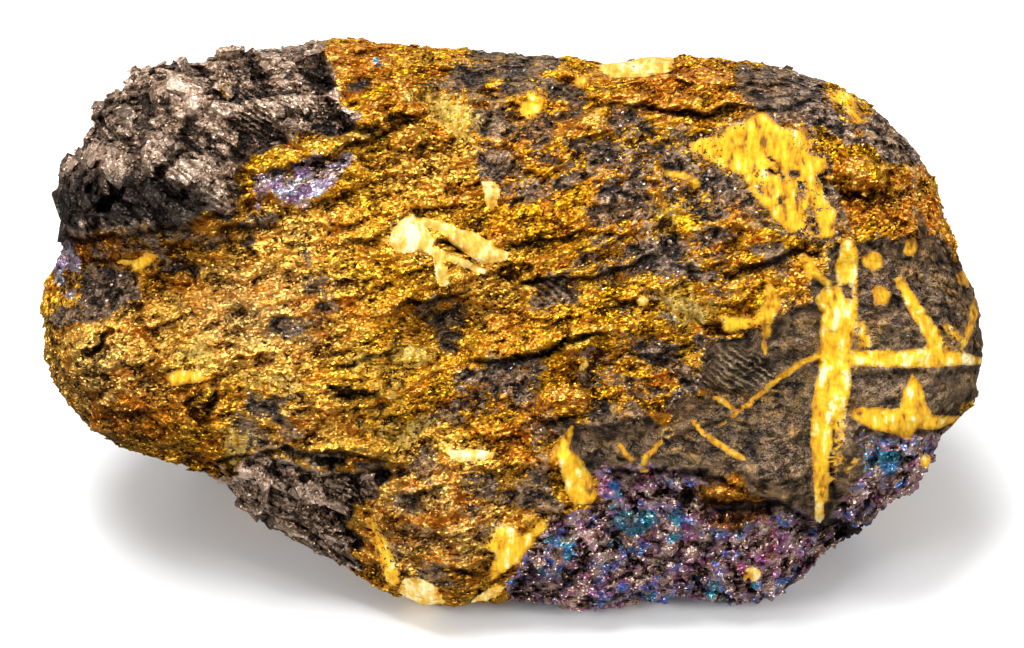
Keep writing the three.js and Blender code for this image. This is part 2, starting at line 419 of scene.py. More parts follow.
calcite_veins = {
    "upright_top": [
        (35.2, 8, 0.9), (35, 6, 1.2), (35, 4, 1.1), (34.6, 2, 1.6), (34.1, 0, 1.9), (33.8, -2, 1.7),
        (33.8, -4.5, 1.7), (33.6, -6.5, 1.9), (33.2, -8.5, 1.9), (32.5, -11, 1.3), (32.4, -14, 1.0),
        (32.5, -18.4, 0.75),
    ],
    "upright_side": [(34.1, -9.4, 0.3), (34, -12, 0.2), (33.8, -16.4, 0.16)],
    "upright_edge": [(34.8, -8.8, 0.25), (34.5, -12, 0.24), (34.3, -15, 0.12)],
    "level": [
        (35.2, -3.9, 0.55), (36.5, -3.5, 0.85), (40, -3.7, 0.9), (44.5, -3.4, 1.15), (47, -3.6, 0.7),
        (50, -4, 0.4),
    ],
    "slant": [(40.6, 4.5, 0.5), (41.7, 2.4, 0.75), (43.2, 0.2, 0.85), (44.6, -2.2, 1.0)],
    "right_end": [(49.1, 3.2, 0.35), (48.7, 1.4, 0.5), (48.1, -0.8, 0.42), (47.4, -2.3, 0.25)],
    "right_low": [(45.4, -0.2, 0.3), (46.4, -1, 0.5), (47.4, -2, 0.3)],
    "hair": [
        (32.3, -3.1, 0.3), (30, -4.2, 0.34), (27, -6.4, 0.28), (25, -8.2, 0.28), (22.6, -10, 0.2),
        (21, -11.2, 0.13),
    ],
    "second": [
        (26.7, 4.8, 0.3), (27, 3.4, 0.5), (27.3, 2, 0.7), (26.6, 0.2, 0.5), (26.6, -1.2, 0.45),
        (26.3, -2.2, 0.35), (26.6, -3.3, 0.15),
    ],
    "slip": [(18.8, -10.1, 0.25), (20.2, -11.6, 0.3), (22, -12.8, 0.38), (24.2, -14.1, 0.3)],
    "vee_left": [(11.2, -12.4, 0.25), (11.8, -13.6, 0.35), (12.6, -14.3, 0.2)],
    "vee_right": [(16.3, -11.5, 0.15), (15, -12.8, 0.3), (13.7, -14.2, 0.4)],
    "vee_foot": [(13.4, -15.1, 0.3), (14, -15.2, 0.3)],
    "small_pale": [(21, -7.6, 0.2), (22.2, -8.1, 0.4), (23.3, -8.9, 0.2)],
    "gold_streak": [(16, 15.7, 0.3), (18.2, 15.5, 0.4), (19.2, 14.7, 0.5)],
    "column": [(-14.9, -20.4, 0.3), (-14, -22.6, 0.6), (-13.2, -24.6, 0.8), (-12.6, -26.8, 0.9)],
    "tail": [(35, -15.4, 0.2), (36.1, -14.1, 0.25)],
    "fork": [(30.4, 7, 0.5), (31.6, 5.4, 0.5), (33, 4.2, 0.4)],
}
calcite_holes = {
    "crown_holes": [(29.4, 15.7, 0.5), (29.7, 15.6, 0.3)],
    "crown_slit": [(30.2, 14.4, 0.35), (30.1, 13.4, 0.4)],
    "crown_dash": [(31.3, 12, 0.25), (31.2, 10.6, 0.45), (31.8, 9.6, 0.3)],
    "crown_nick": [(28, 13.2, 0.18), (28, 12.4, 0.2)],
    "crown_mark": [(27, 16, 0.25), (27.3, 15.7, 0.2)],
    "crown_gap": [(25.8, 14.1, 0.2), (26.1, 13.9, 0.15)],
    "upright_gap": [(35, 3.6, 0.55), (35.2, 2.7, 0.3)],
    "crown_cut": [(28.4, 14.8, 0.12), (27.9, 16.4, 0.14), (26.9, 17.4, 0.1)],
}
pocked_spots = [
    (20.6, 18.3, 3.4, 2.2, 1.0), (25.6, 15.2, 1.5, 2.6, 0.9), (31.2, 12.4, 2.0, 3.6, 1.0),
    (30, 19.2, 2.6, 1.8, 0.9), (23.5, 20.6, 3, 0.9, 0.8), (35.5, 22.5, 2.5, 3, 1.0),
    (3, -22, 2, 2, 0.3), (-1.6, -22.6, 1.6, 1.6, 0.8), (-13.4, -24, 2.2, 4.5, 0.9),
    (45.8, -1, 1.6, 1.6, 1.0), (34.3, -13, 0.8, 5, 0.7), (24.5, 0.4, 2.6, 1.4, 0.8),
    (2.2, 23, 2, 2, 0.6), (36.7, -1, 1, 2, 0.7),
]
print(len(calcite_patches), "patches and", len(calcite_veins), "veins of calcite")

# %% Quartz: white to honey-coloured lumps, and olive skins that the light goes into
quartz_lumps = {
    "white_head": [
        (-12.9, 8.4), (-12.6, 9.8), (-11.6, 10.8), (-10.4, 11.4), (-9.3, 10.8), (-8.6, 9.6),
        (-8.2, 8.4), (-9.2, 7.9), (-10.6, 7.4), (-12.2, 7.6),
    ],
    "honey_tail": [
        (-7.4, 9.4), (-5.6, 9.9), (-4.2, 9.7), (-2.2, 8.5), (-0.2, 7.3), (-0.4, 6.6), (-2.8, 6.2),
        (-4.4, 7), (-6, 8.1),
    ],
    "white_wedge": [
        (-7.2, -12), (-6.3, -13.2), (-4.8, -13), (-3, -13.2), (-1.4, -13.7), (-2.4, -14.1),
        (-4.2, -14.4), (-6, -14.2), (-6.9, -13.4),
    ],
    "pillar": [
        (-3.2, 14.9), (-1.9, 14.9), (-1.2, 14), (-1.7, 12.4), (-2.1, 11.7), (-2.9, 12.6), (-2.9, 13.8),
    ],
    "foot_white": [
        (-0.6, -27.5), (-1.2, -28.5), (-2.6, -29), (-4.8, -29.4), (-3.4, -28.5), (-2, -27.7),
    ],
    "foot_honey": [
        (-11.5, -26.9), (-9.6, -26.6), (-8, -27.6), (-7, -29.2), (-8.5, -29.9), (-10.5, -29.5),
        (-12, -28),
    ],
    "top_rim": [
        (8.8, 27.4), (11, 27.6), (14.5, 28.3), (17.2, 28.6), (17, 26.7), (14.2, 26), (11, 25.9),
        (9.3, 26.4),
    ],
    "vein_tip": [(31.9, -18.6), (32.9, -18.7), (32.9, -20.4), (32.4, -21.4), (31.9, -20.4)],
    "grain_foot": [(24.4, -26.2), (25.2, -25.4), (26.1, -25.8), (26.4, -26.8), (25.4, -27.2)],
    "grain_e": [(13, 2.6), (13.6, 3.2), (14.4, 2.6), (14, 1.8), (13.2, 1.9)],
    "spike": [(7.6, -3.1), (7.9, -4.4), (7.4, -5), (6.9, -4.8), (7.3, -3.9)],
}
quartz_veins = {
    "bridge": [(-9.2, 10.7, 0.45), (-7.6, 10.2, 0.6), (-6, 9.7, 0.5)],
    "lower_strand": [(-9, 8.1, 0.45), (-7.4, 7.2, 0.5), (-5.6, 6.6, 0.4), (-3, 5.4, 0.3)],
    "drip": [(-7.8, 6.8, 0.5), (-7.4, 5.4, 0.65), (-7.1, 4.4, 0.55)],
}
olive_skins = {
    "top": [
        (-10.6, 24), (-8, 24.2), (-5.5, 23.7), (-4.6, 22), (-3.4, 20.8), (-3.8, 18.8), (-5.2, 18),
        (-5.5, 19.9), (-7, 20.9), (-8.4, 21.1), (-9.3, 22.3),
    ],
    "middle": [
        (15.2, 3.2), (17.5, 4), (18.6, 2.8), (20.6, 1.8), (20.2, 0.3), (18.6, 0), (17.2, 1),
        (15.6, 1.8),
    ],
    "shoulder": [(-35.6, -2.4), (-33, -2.5), (-31.2, -3.9), (-32, -4.3), (-34.8, -3.6)],
    "shelf_a": [(-28.6, -5.8), (-27, -5.1), (-25.6, -5.7), (-26.8, -6.5), (-28.2, -6.6)],
    "shelf_b": [(-25, -6.2), (-24, -5.8), (-22.3, -6), (-23, -6.7), (-24.6, -6.8)],
    "belly": [(-16.5, -3.8), (-15.4, -3.4), (-13, -4.4), (-11.6, -5.4), (-13.6, -5), (-15.6, -4.8)],
    "pink_lens": [(-12.6, -3.8), (-11.4, -2), (-10.2, -1.2), (-8.4, -2.6), (-7.6, -4.3), (-9.5, -4.7)],
    "knee": [(-13.4, -6.4), (-12.4, -5.6), (-11.2, -6.4), (-11.6, -7.6), (-12.8, -7.6)],
    "low": [(-14, -11), (-12, -10.2), (-9.6, -10), (-8.2, -11.2), (-10.2, -11.8), (-12.4, -12.4)],
    "left_low": [(-30.2, -14.7), (-28.4, -14.2), (-27.6, -12.2), (-28.8, -11.6), (-29.8, -12.8)],
    "right_of_top": [(15.6, 11.6), (16.2, 12.7), (17.3, 12), (17, 11), (16.2, 10.8)],
}
print(len(quartz_lumps) + len(quartz_veins), "pieces of quartz and", len(olive_skins), "olive skins")

# %% Dull grey matrix
matrix_patches = {
    "slab": [
        (20, -1.8), (24, -1.5), (27, -0.5), (28, 2.2), (31, 2), (31.5, 4), (33.5, 7.5), (36, 8.5),
        (40, 8.7), (41.5, 9.8), (42.2, 12.8), (43, 11), (45, 9.5), (46.3, 7.4), (48.5, 5), (51, 2),
        (51, -7), (48, -9.4), (44.5, -12.4), (38, -12.6), (36.5, -15.5), (35, -18.5), (33.5, -22),
        (31, -21.2), (28, -19.8), (25, -17.5), (20, -17.2), (15, -15.8), (11, -16.3), (6.5, -16.5),
        (5, -12), (4, -10.6), (8, -10.4), (12, -10), (15, -8.6), (19, -8), (20, -5.4),
    ],
    "top_right": [
        (24, 27.3), (29, 27), (33, 25.8), (33.2, 23.4), (35, 22.3), (35.4, 20.6), (37.6, 20.8),
        (38, 23.4), (41, 22), (43.4, 18.6), (44.2, 16.4), (41, 16.6), (39.5, 17.2), (37.5, 18.8),
        (34, 19.3), (31.5, 20.6), (28, 22.2), (25, 22.5), (24, 24),
    ],
    "beside_crown": [
        (31.9, 16), (33.3, 16.2), (34.8, 13), (35, 10), (34, 9), (33.9, 11.8), (33.1, 13.2),
    ],
    "below_crown": [
        (19.8, 16.8), (24, 16), (24.2, 14.8), (25.2, 13), (27, 11), (28.6, 9.4), (27.5, 9),
        (24.5, 11.6), (21.5, 12.8), (19, 14), (16.5, 14.6), (19.8, 15.4),
    ],
    "top_middle": [
        (-3, 30), (-4.6, 28.6), (-2.8, 27.7), (-5.8, 27), (-6.4, 26), (-9, 25.6), (-8, 24.4),
        (-5.4, 24.9), (-4.6, 23.6), (-2.6, 24.4), (-1.6, 25.8), (1, 25.6), (3.8, 26.2), (5.6, 27.4),
        (4, 29.5),
    ],
    "island_a": [(-3.4, 18), (-1, 19.3), (0.3, 18.5), (0.5, 16), (-0.6, 15), (-4.2, 15.2)],
    "island_b": [(0.3, 14.8), (3.2, 14.8), (4.4, 13.6), (4.6, 12.6), (2.2, 12.9), (0.2, 12.7)],
    "island_c": [(9.4, 15), (13, 15.1), (14.8, 13.2), (14.6, 11), (11.5, 10.3), (9, 10.4), (8, 12.4)],
    "island_d": [(9.6, 22.4), (13, 22.6), (14.8, 21.2), (15, 20), (11.5, 20.1), (9.8, 20.8)],
    "island_e": [(8.6, 18.6), (10.5, 19.4), (12.1, 17.2), (10, 16.6), (8.2, 16.8)],
    "island_f": [(5.6, 24.9), (7.8, 24.6), (8.1, 23.4), (6.4, 22.8), (6.2, 21.4), (5.4, 21.5)],
    "block": [(3.2, 4.4), (5.6, 5), (7, 3.6), (6.9, 1.9), (4.6, 2.1), (2.2, 1.2), (2.6, 2.6)],
    "island_g": [(6.3, 6.6), (7.2, 7.3), (8.6, 7), (8.2, 5.8), (6.8, 5.4)],
    "island_h": [(14.4, 18), (16.5, 19.2), (18.2, 18), (19.6, 17.1), (17.5, 15.8), (15.4, 16.2)],
    "island_i": [(12.2, 7.4), (14, 9.4), (17.4, 9), (19, 7), (16.6, 5.4), (13.4, 5.6)],
    "island_j": [
        (-5.5, -4.2), (-1, -4), (0.2, -5.2), (2.6, -6.2), (2, -8.6), (0, -7.4), (-3.6, -6.6),
        (-5.6, -7),
    ],
    "beside_flame": [
        (1.8, -10), (4.5, -10), (3.4, -13.5), (4.4, -15.5), (5.5, -18.5), (3.5, -19.6), (-0.5, -19),
        (0.2, -16.6), (2.4, -15), (2.6, -12.5),
    ],
    "left": [
        (-46.2, 4.6), (-44.5, 6.4), (-41.5, 5.6), (-39, 5), (-38.8, 2.6), (-41.5, 2), (-44, 0.4),
        (-48, -0.6), (-50, 0.8), (-46, 2),
    ],
    "shelf": [
        (-27.6, -6.9), (-25, -6.6), (-22.5, -7.3), (-23.2, -9), (-22.6, -12), (-24, -12.7),
        (-25.3, -10.4), (-28.5, -8.8),
    ],
    "speck_a": [(-22.2, 4.6), (-20, 4.8), (-19.2, 3.6), (-20.6, 3.1)],
    "speck_b": [(-20.6, 1.6), (-18.8, 2.4), (-17.8, 0.6), (-19.6, 0)],
    "speck_c": [(-22.4, 7.6), (-21.4, 8.4), (-20.9, 6.6), (-21.8, 6.2)],
    "speck_d": [(-17, 25.6), (-15.8, 25.7), (-15.4, 24.6), (-16.6, 24.3)],
    "bite": [(-0.4, 17.3), (0.6, 17.2), (0.4, 16.4), (-0.4, 16.4)],
}
mixed_patches = {
    "lower_middle": [
        (-16, -14), (-8, -13.5), (-3, -15), (0, -18), (-1, -21), (-2.5, -24.5), (-4, -28), (-12, -27),
        (-15, -22),
    ],
    "right_middle": [
        (8, 22), (20, 21), (24, 14), (27, 10), (30, 8), (27, 3), (20, 0), (12, 0), (9, 4), (8, 10),
    ],
    "below_middle": [
        (-5, -3.6), (5, -4), (9, -1.4), (20, -1), (21, -5.6), (17, -10), (8, -10.4), (2, -9.5),
        (-3, -10), (-9, -12), (-14, -13), (-16, -10), (-10, -9), (-6, -7),
    ],
    "upper_middle": [(-5, 25), (3, 26), (8, 23.5), (8, 16), (4, 12.5), (-3, 14), (-5, 19)],
    "left_low": [(-31, -9.5), (-22.5, -9), (-22.5, -13.5), (-30, -13.5)],
    "left_middle": [(-26, -1), (-19, 5), (-17, 1), (-21, -3)],
    "upper_right": [(29, 26), (36, 24), (41, 19.5), (44, 14), (40, 17), (37, 19), (31, 21)],
    "below_knob": [(-44, 9.5), (-30, 10.5), (-24, 11.5), (-29, 7), (-36, 5), (-44, 7)],
    "dark_pit": [(-12, 0.4), (-9.6, 2.4), (-5, 3), (-4.6, 0.6), (-6, -3), (-9, -1.6), (-11, -1.2)],
}
print(len(matrix_patches), "patches of matrix and", len(mixed_patches), "where it is mixed with gold")

# %% Dark sulphide and tarnish
sulphide_patches = {
    "knob": [
        (-55, 10.8), (-47, 9.6), (-40, 9.8), (-36, 9.9), (-32, 10.4), (-29.3, 11.2), (-28.6, 14.5),
        (-27.8, 17.2), (-25, 18.5), (-20, 19.6), (-17, 20.2), (-15.4, 20.4), (-17.6, 22.5),
        (-18.2, 25.5), (-19.3, 28.6), (-20, 34), (-36, 36), (-52, 28),
    ],
    "lower_left": [
        (-34, -16), (-29, -13.9), (-26, -13.3), (-22, -13.6), (-18, -14), (-14.5, -14.2),
        (-12.5, -15.4), (-14, -17.2), (-16.5, -19.4), (-17.2, -22), (-15.6, -24.5), (-15, -30),
        (-24, -28), (-32, -21),
    ],
}
gold_windows = {
    "under_knob": [(-27, 17.4), (-24, 18.3), (-22, 18.3), (-22, 17), (-24.5, 16.3), (-26.8, 15.6)],
    "beside_knob": [(-28.2, 14.8), (-27, 14.2), (-27.4, 12), (-27.4, 10.9), (-28.6, 11), (-28.4, 13)],
    "in_knob": [(-30.6, 24.8), (-29.6, 25.2), (-28.9, 24.2), (-29.8, 23.6)],
    "hill": [
        (33.6, 16.2), (34.6, 17.8), (37, 18.4), (38.4, 17.6), (39.6, 15.2), (39, 14), (35.4, 13.8),
        (33.8, 14.8),
    ],
    "nugget": [(2.2, -7.6), (2.8, -5.6), (5.4, -4.8), (8.6, -6.8), (8.6, -8.2), (6, -9.2), (3, -9)],
    "lower_nugget": [
        (19.4, -18.4), (20, -16.8), (22.5, -16.3), (24.5, -16.5), (25.3, -17.4), (26.8, -18.3),
        (25.4, -18.8), (23, -18.8), (21, -18.5),
    ],
}
lilac_patches = {
    "under_knob": [
        (-26.4, 15.5), (-23.5, 16.4), (-20, 17.2), (-17.2, 18.2), (-16.4, 17.2), (-18.6, 14.6),
        (-21, 12.6), (-23, 12.4), (-25.5, 13.2), (-27.4, 11.2), (-26.2, 14),
    ],
    "left_rim": [
        (-48.6, 9.4), (-46.6, 9), (-46, 7.2), (-46.8, 4.6), (-46.4, 3), (-47.4, 3.2), (-47.6, 5),
        (-48, 7),
    ],
}
tarnish_patches = {
    "foot": [
        (9.2, -14.8), (12.5, -15.4), (16, -14.6), (18.5, -15.3), (20, -16.5), (27, -18.5),
        (31.5, -20.6), (33.5, -21.5), (34, -25), (30, -33), (8, -34), (-1, -33), (-0.8, -27.2),
        (1.5, -24.2), (3.6, -21.6), (4, -20), (8.5, -19), (9.2, -17),
    ],
    "undercut": [
        (36.6, -11.9), (40, -11.7), (43.5, -11.4), (46, -11.6), (46, -16), (44, -20), (40, -24),
        (33.6, -24), (33.2, -20.8), (34.6, -18.6), (36.6, -15), (37.2, -13.3),
    ],
}
teal_patches = {
    "crystal": [
        (10.3, -20.4), (11.5, -19), (12.4, -18.8), (14.2, -19.6), (14.8, -20.9), (13.2, -22.9),
        (11.8, -21.9), (10.4, -21.4),
    ],
    "band": [(10, -21.9), (11.4, -22.6), (12.8, -23.6), (12.4, -24.2), (10.2, -23.2)],
    "undercut": [(37.8, -12.2), (40, -12.6), (41.4, -13.2), (40.8, -14.6), (38.6, -14.4)],
    "speck_top": [(-14.4, 28), (-13.9, 28.1), (-13.8, 27.2), (-14.4, 27.2)],
    "speck_foot": [(3.4, -22.6), (5, -22.4), (5, -23.6), (3.6, -23.8)],
}
orange_stains = {
    "lower_stain": [(20.5, -19.5), (24, -19.2), (27.2, -20), (26, -21.2), (22.5, -21.6), (20.8, -22)],
}
print("tarnish covers", sorted(tarnish_patches), "and the sulphide", sorted(sulphide_patches))

# %% [markdown]
# ## Distances to outlines and spines
#
# A border is easiest to move, blur or roughen when each point knows how far it is from it. So each
# mineral becomes one number per point: how many millimetres inside the mineral it lies, and less
# than nothing outside. The material turns that number into a crisp edge, finer than the mesh.

# %% How far inside
def to_segments(uv, starts, ends):
    """Distance to each stretch of a line, and how far along the stretch the nearest place is."""
    for start, end in zip(starts, ends):
        stretch = end[:2] - start[:2]
        along = np.clip((uv - start[:2]) @ stretch / (stretch @ stretch), 0, 1)
        gap = np.linalg.norm(uv - start[:2] - along[:, None] * stretch, axis=1)
        yield start, end, along, gap

NEAR_MM = 3.0  # further than this outside a shape's box, its distance is only rough

def only_near(uv, low, high, exact):
    """Minus the distance to a box, with exact depths for the points in it or near it."""
    past_box = np.linalg.norm(np.clip(np.maximum(low - uv, uv - high), 0, None), axis=1)
    depth = -past_box
    near = past_box < NEAR_MM
    depth[near] = exact(uv[near])
    return depth

def inside_outline(uv, outline):
    corners = np.array(outline, float)
    return only_near(uv, corners.min(0), corners.max(0), lambda near: inside_corners(near, corners))

def inside_corners(uv, corners):
    nearest = np.full(len(uv), np.inf)
    within = np.zeros(len(uv), bool)
    for start, end, _, gap in to_segments(uv, corners, np.roll(corners, -1, axis=0)):
        nearest = np.minimum(nearest, gap)
        straddles = (start[1] > uv[:, 1]) != (end[1] > uv[:, 1])
        if start[1] != end[1]:
            crossing = start[0] + (uv[:, 1] - start[1]) * (end[0] - start[0]) / (end[1] - start[1])
            within ^= straddles & (uv[:, 0] < crossing)
    return np.where(within, nearest, -nearest)

def inside_spine(uv, spine):
    points = np.array(spine, float)
    low, high = points[:, :2].min(0), points[:, :2].max(0)
    return only_near(uv, low, high, lambda near: inside_stretches(near, points))

def inside_stretches(uv, points):
    deepest = np.full(len(uv), -np.inf)
    for start, end, along, gap in to_segments(uv, points[:-1], points[1:]):
        half_width = start[2] + along * (end[2] - start[2])
        deepest = np.maximum(deepest, half_width - gap)
    return deepest

def inside_any(uv, outlines=None, spines=None):
    depths = [inside_outline(uv, outline) for outline in (outlines or {}).values()]
    depths += [inside_spine(uv, spine) for spine in (spines or {}).values()]
    return np.max(depths, axis=0)

def soft_spots(uv, spots):
    total = np.zeros(len(uv))
    for u, v, half_u, half_v, strength in spots:
        squared = ((uv[:, 0] - u) / half_u) ** 2 + ((uv[:, 1] - v) / half_v) ** 2
        total = np.maximum(total, strength * np.exp(-squared))
    return total

in_the_crown = inside_outline(np.array([[27.0, 18.0]]), calcite_patches["crown"])
print("a place in the crown is", in_the_crown.round(2), "mm inside it")

# %% [markdown]
# ## The lump's fine mesh
#
# The frame's lump has about eight thousand facets, coarse enough for its weight and its rest. A
# voxel remesh could refine it and would move its outline, so instead a copy of it, smoothed by
# subdivision, is the blank that the broken surface is cut into. Two levels bring its points to about
# a third of a millimetre apart, which is as fine as one piece may be.

# %% A smooth blank to carve
SUBDIVISIONS = 2
SAME_PLACE = 1e-6  # corners closer than this are one

def as_modified(thing):
    """A plain mesh of what an object's modifiers make of it. They and the object are removed."""
    modified = thing.evaluated_get(bpy.context.evaluated_depsgraph_get())
    mesh = bpy.data.meshes.new_from_object(modified)
    thing.modifiers.clear()
    bpy.data.objects.remove(thing)
    return mesh

def blank_from(node):
    mesh = node.data.copy()
    blank = into_scene("ore_blank", mesh)
    work = bmesh.new()
    work.from_mesh(mesh)
    bmesh.ops.remove_doubles(work, verts=work.verts, dist=SAME_PLACE)
    work.to_mesh(mesh)
    work.free()
    smoother = blank.modifiers.new("smoother", "SUBSURF")
    smoother.levels = smoother.render_levels = SUBDIVISIONS
    smooth = as_modified(blank)
    smooth.name = "ore"
    smooth.materials.clear()
    for attribute in list(smooth.attributes):
        if not attribute.is_required and attribute.name != "sharp_face":
            smooth.attributes.remove(attribute)
    return smooth

ore_mesh = blank_from(lump_node)
POINTS = len(ore_mesh.vertices)

def read_vectors(items, name):
    flat = np.zeros(len(items) * 3, np.float32)
    items.foreach_get(name, flat)
    return flat.reshape(-1, 3).astype(float)

blank_mm = read_vectors(ore_mesh.vertices, "co") / MM
blank_normals = read_vectors(ore_mesh.vertex_normals, "vector")
print("the blank has", POINTS, "points and", len(ore_mesh.polygons), "four-sided faces")

# %% [markdown]
# The minerals are planned on the broad face only. Further round, the veins are sheets that run on
# into the rock, so the same outlines are looked up at places that drift sideways with depth. On the
# hidden sides the outlines give way to zones cut from waves, so that those sides carry the same
# minerals in other places.

# %% Where the points look up their minerals
RIM_W = -3.0  # points further back than this are past the broad face's rim
DRIFT = (0.30, -0.22)  # how far the plan slides along u and v for each mm behind the rim
WANDER_MM = 7.0
blank_uvw = to_face(blank_mm)
behind_rim = np.clip(RIM_W - blank_uvw[:, 2], 0, None)
hidden = rise(behind_rim, 2, 10)  # 0 on the broad face and 1 on the sides that it hides
facing = blank_normals @ face_axes[2]

def ragged(uv, length, reach, seed):
    """The same places pushed about by waves, to give borders their ragged line."""
    lift = np.column_stack([uv, np.zeros(len(uv))])
    push = [rough(lift, length, seed + k, octaves=2) for k in (0, 10)]
    return uv + reach * np.stack(push, axis=1)

wander = np.stack([waves(blank_mm, WANDER_MM, seed) for seed in (46, 47)], axis=1)
plan_uv = blank_uvw[:, :2] + behind_rim[:, None] * (DRIFT + 0.7 * wander)
tight_uv = ragged(plan_uv, 1.3, 0.16, seed=31)
loose_uv = ragged(ragged(plan_uv, 3.4, 1.3, seed=5), 1.1, 0.45, seed=8)
ledge_uv = ragged(ragged(plan_uv, 3.2, 0.55, seed=41), 1.0, 0.22, seed=44)
print("points that look at the plan:", int((hidden < 0.5).sum()), "of", POINTS)

# %% Calcite, in front and behind
HIDDEN_SHEETS = [
    ((1.0, 0.1, 0.2), 37.0, 1.1),
    ((0.3, 0.5, 1.0), 33.0, 0.6),
    ((0.8, -0.4, 0.5), -6.0, 0.7),
    ((-0.5, 0.2, 0.9), 30.0, 0.35),
    ((-0.7, -0.2, 0.6), 34.0, 0.5),
]  # the direction that each sheet of calcite faces, its place along that and its half width
BEND_MM = 16.0
BEND_REACH = 2.2

def behind(in_front, wild):
    """A depth that changes over from the plan's to the hidden sides' own."""
    return in_front * (1 - hidden) + wild * hidden

def only_in_front(uv, outlines, spines=None, fade=6):
    return inside_any(uv, outlines, spines) - fade * hidden

pebble_depth = inside_any(tight_uv, honey_pebbles)
calcite_depth = np.maximum(inside_any(tight_uv, calcite_patches, calcite_veins), pebble_depth)
calcite_depth = np.minimum(calcite_depth, -inside_any(plan_uv, spines=calcite_holes))
pocked = soft_spots(tight_uv, pocked_spots) * (1 - hidden)
calcite_depth = np.minimum(calcite_depth, 0.4 + 3 * (1 - np.clip(pocked * 1.4, 0, 1)))
bends = np.stack([rough(blank_mm, BEND_MM, seed) for seed in (51, 54, 57)], axis=1)
bent_mm = blank_mm + BEND_REACH * bends + 0.5 * rough(blank_mm, 1.8, 59)[:, None]
pinch = 0.75 + 1.2 * waves(blank_mm, 9.0, 60)
sheet_depth = np.full(POINTS, -np.inf)
for across, place, half_width in HIDDEN_SHEETS:
    from_sheet = np.abs(bent_mm @ across / np.linalg.norm(across) - place)
    sheet_depth = np.maximum(sheet_depth, half_width * pinch - from_sheet)
veins_behind = np.maximum(sheet_depth, calcite_depth - 4 * hidden)
calcite_depth = np.where(hidden > 0.5, veins_behind, calcite_depth)
print("calcite covers", round(float((calcite_depth > 0).mean()) * 100), "per cent of the points")

# %% Quartz, olive skins, sulphide and tarnish
def zones(length, share, seed):
    """Depths of areas cut from waves, which cover less of the skin as share rises."""
    return 6 * (rough(blank_mm, length, seed) - share)

LOW_V = -13  # below this the face turns under
SIDEWAYS = np.array([1.7, 1, 1])  # how much longer than high the roughness of the borders is
quartz_depth = only_in_front(tight_uv, quartz_lumps, quartz_veins, fade=9)
olive_depth = only_in_front(loose_uv, olive_skins)
lilac_depth = only_in_front(loose_uv, lilac_patches)
teal_depth = only_in_front(loose_uv, teal_patches)
stain_depth = only_in_front(loose_uv, orange_stains)
gold_window = only_in_front(loose_uv, gold_windows, fade=9)
sulphide_depth = behind(inside_any(loose_uv, sulphide_patches), zones(26.0, 0.12, seed=66))
low_on_face = rise(LOW_V - plan_uv[:, 1], 0, 2) * (1 - hidden)
sulphide_depth += low_on_face * (2.2 * rough(blank_uvw / SIDEWAYS, 2.4, 68) - 0.2)
sulphide_depth = np.minimum(sulphide_depth, -gold_window)
tarnish_depth = behind(inside_any(loose_uv, tarnish_patches), zones(24.0, 0.26, seed=71))
tarnish_depth = np.minimum(tarnish_depth, -gold_window)
for name, depth in (("quartz", quartz_depth), ("sulphide", sulphide_depth), ("tarnish", tarnish_depth)):
    print(name, "covers", round(float((depth > 0).mean()) * 100), "per cent of the points")

# %% Matrix, alone or mixed with gold
DEEPEST = 2.4  # no depth of matrix counts for more than this, or for less than minus this
slab_border_spots = [
    (18, -6, 3.5, 5, 1.0), (12, -9.8, 7, 2.6, 1.0), (17, -9, 5, 1.8, 1.0), (24, -7.7, 4.5, 1.5, 1.0),
]
matrix_depth = behind(inside_any(loose_uv, matrix_patches), zones(22.0, 0.02, seed=61))
slab_border = soft_spots(loose_uv, slab_border_spots) * (1 - hidden)
matrix_depth = np.clip(matrix_depth, -DEEPEST, DEEPEST) * (1 - 0.8 * slab_border)
matrix_depth += DEEPEST * slab_border * rough(blank_uvw / SIDEWAYS, 2.0, 64)
in_mixed = inside_any(loose_uv, mixed_patches)
mixed_depth = np.minimum(in_mixed, 0.3) + 1.5 * rough(blank_uvw / SIDEWAYS, 2.2, 63) - 0.5
mixed_depth -= 6 * hidden + 2 * rise(-in_mixed, 0, 1.5)
mixed_depth -= 0.5 * soft_spots(plan_uv, [(-8, -20, 8, 7, 1.0)])
round_crown = np.minimum(inside_outline(tight_uv, calcite_patches["crown"]) + 0.4, 0.5)
matrix_depth = np.maximum.reduce([matrix_depth, mixed_depth, round_crown])
matrix_depth = np.clip(np.minimum(matrix_depth, -gold_window), -DEEPEST, DEEPEST)
print("matrix covers", round(float((matrix_depth > 0).mean()) * 100), "per cent of the points")

# %% [markdown]
# ## Soft spots
#
# The minerals aren't the same all over. The gold is palest where it broke last and deep orange where
# it has stained, the matrix is speckled with gold or sooty, and the tarnish leans to magenta in some
# areas and to blue in others. Outlines would be too crisp for such changes, and noise alone would
# put them anywhere, so soft spots paint them over the face. Each has a middle (u, v), a half width,
# a half height and a strength, and fades outwards from its middle.

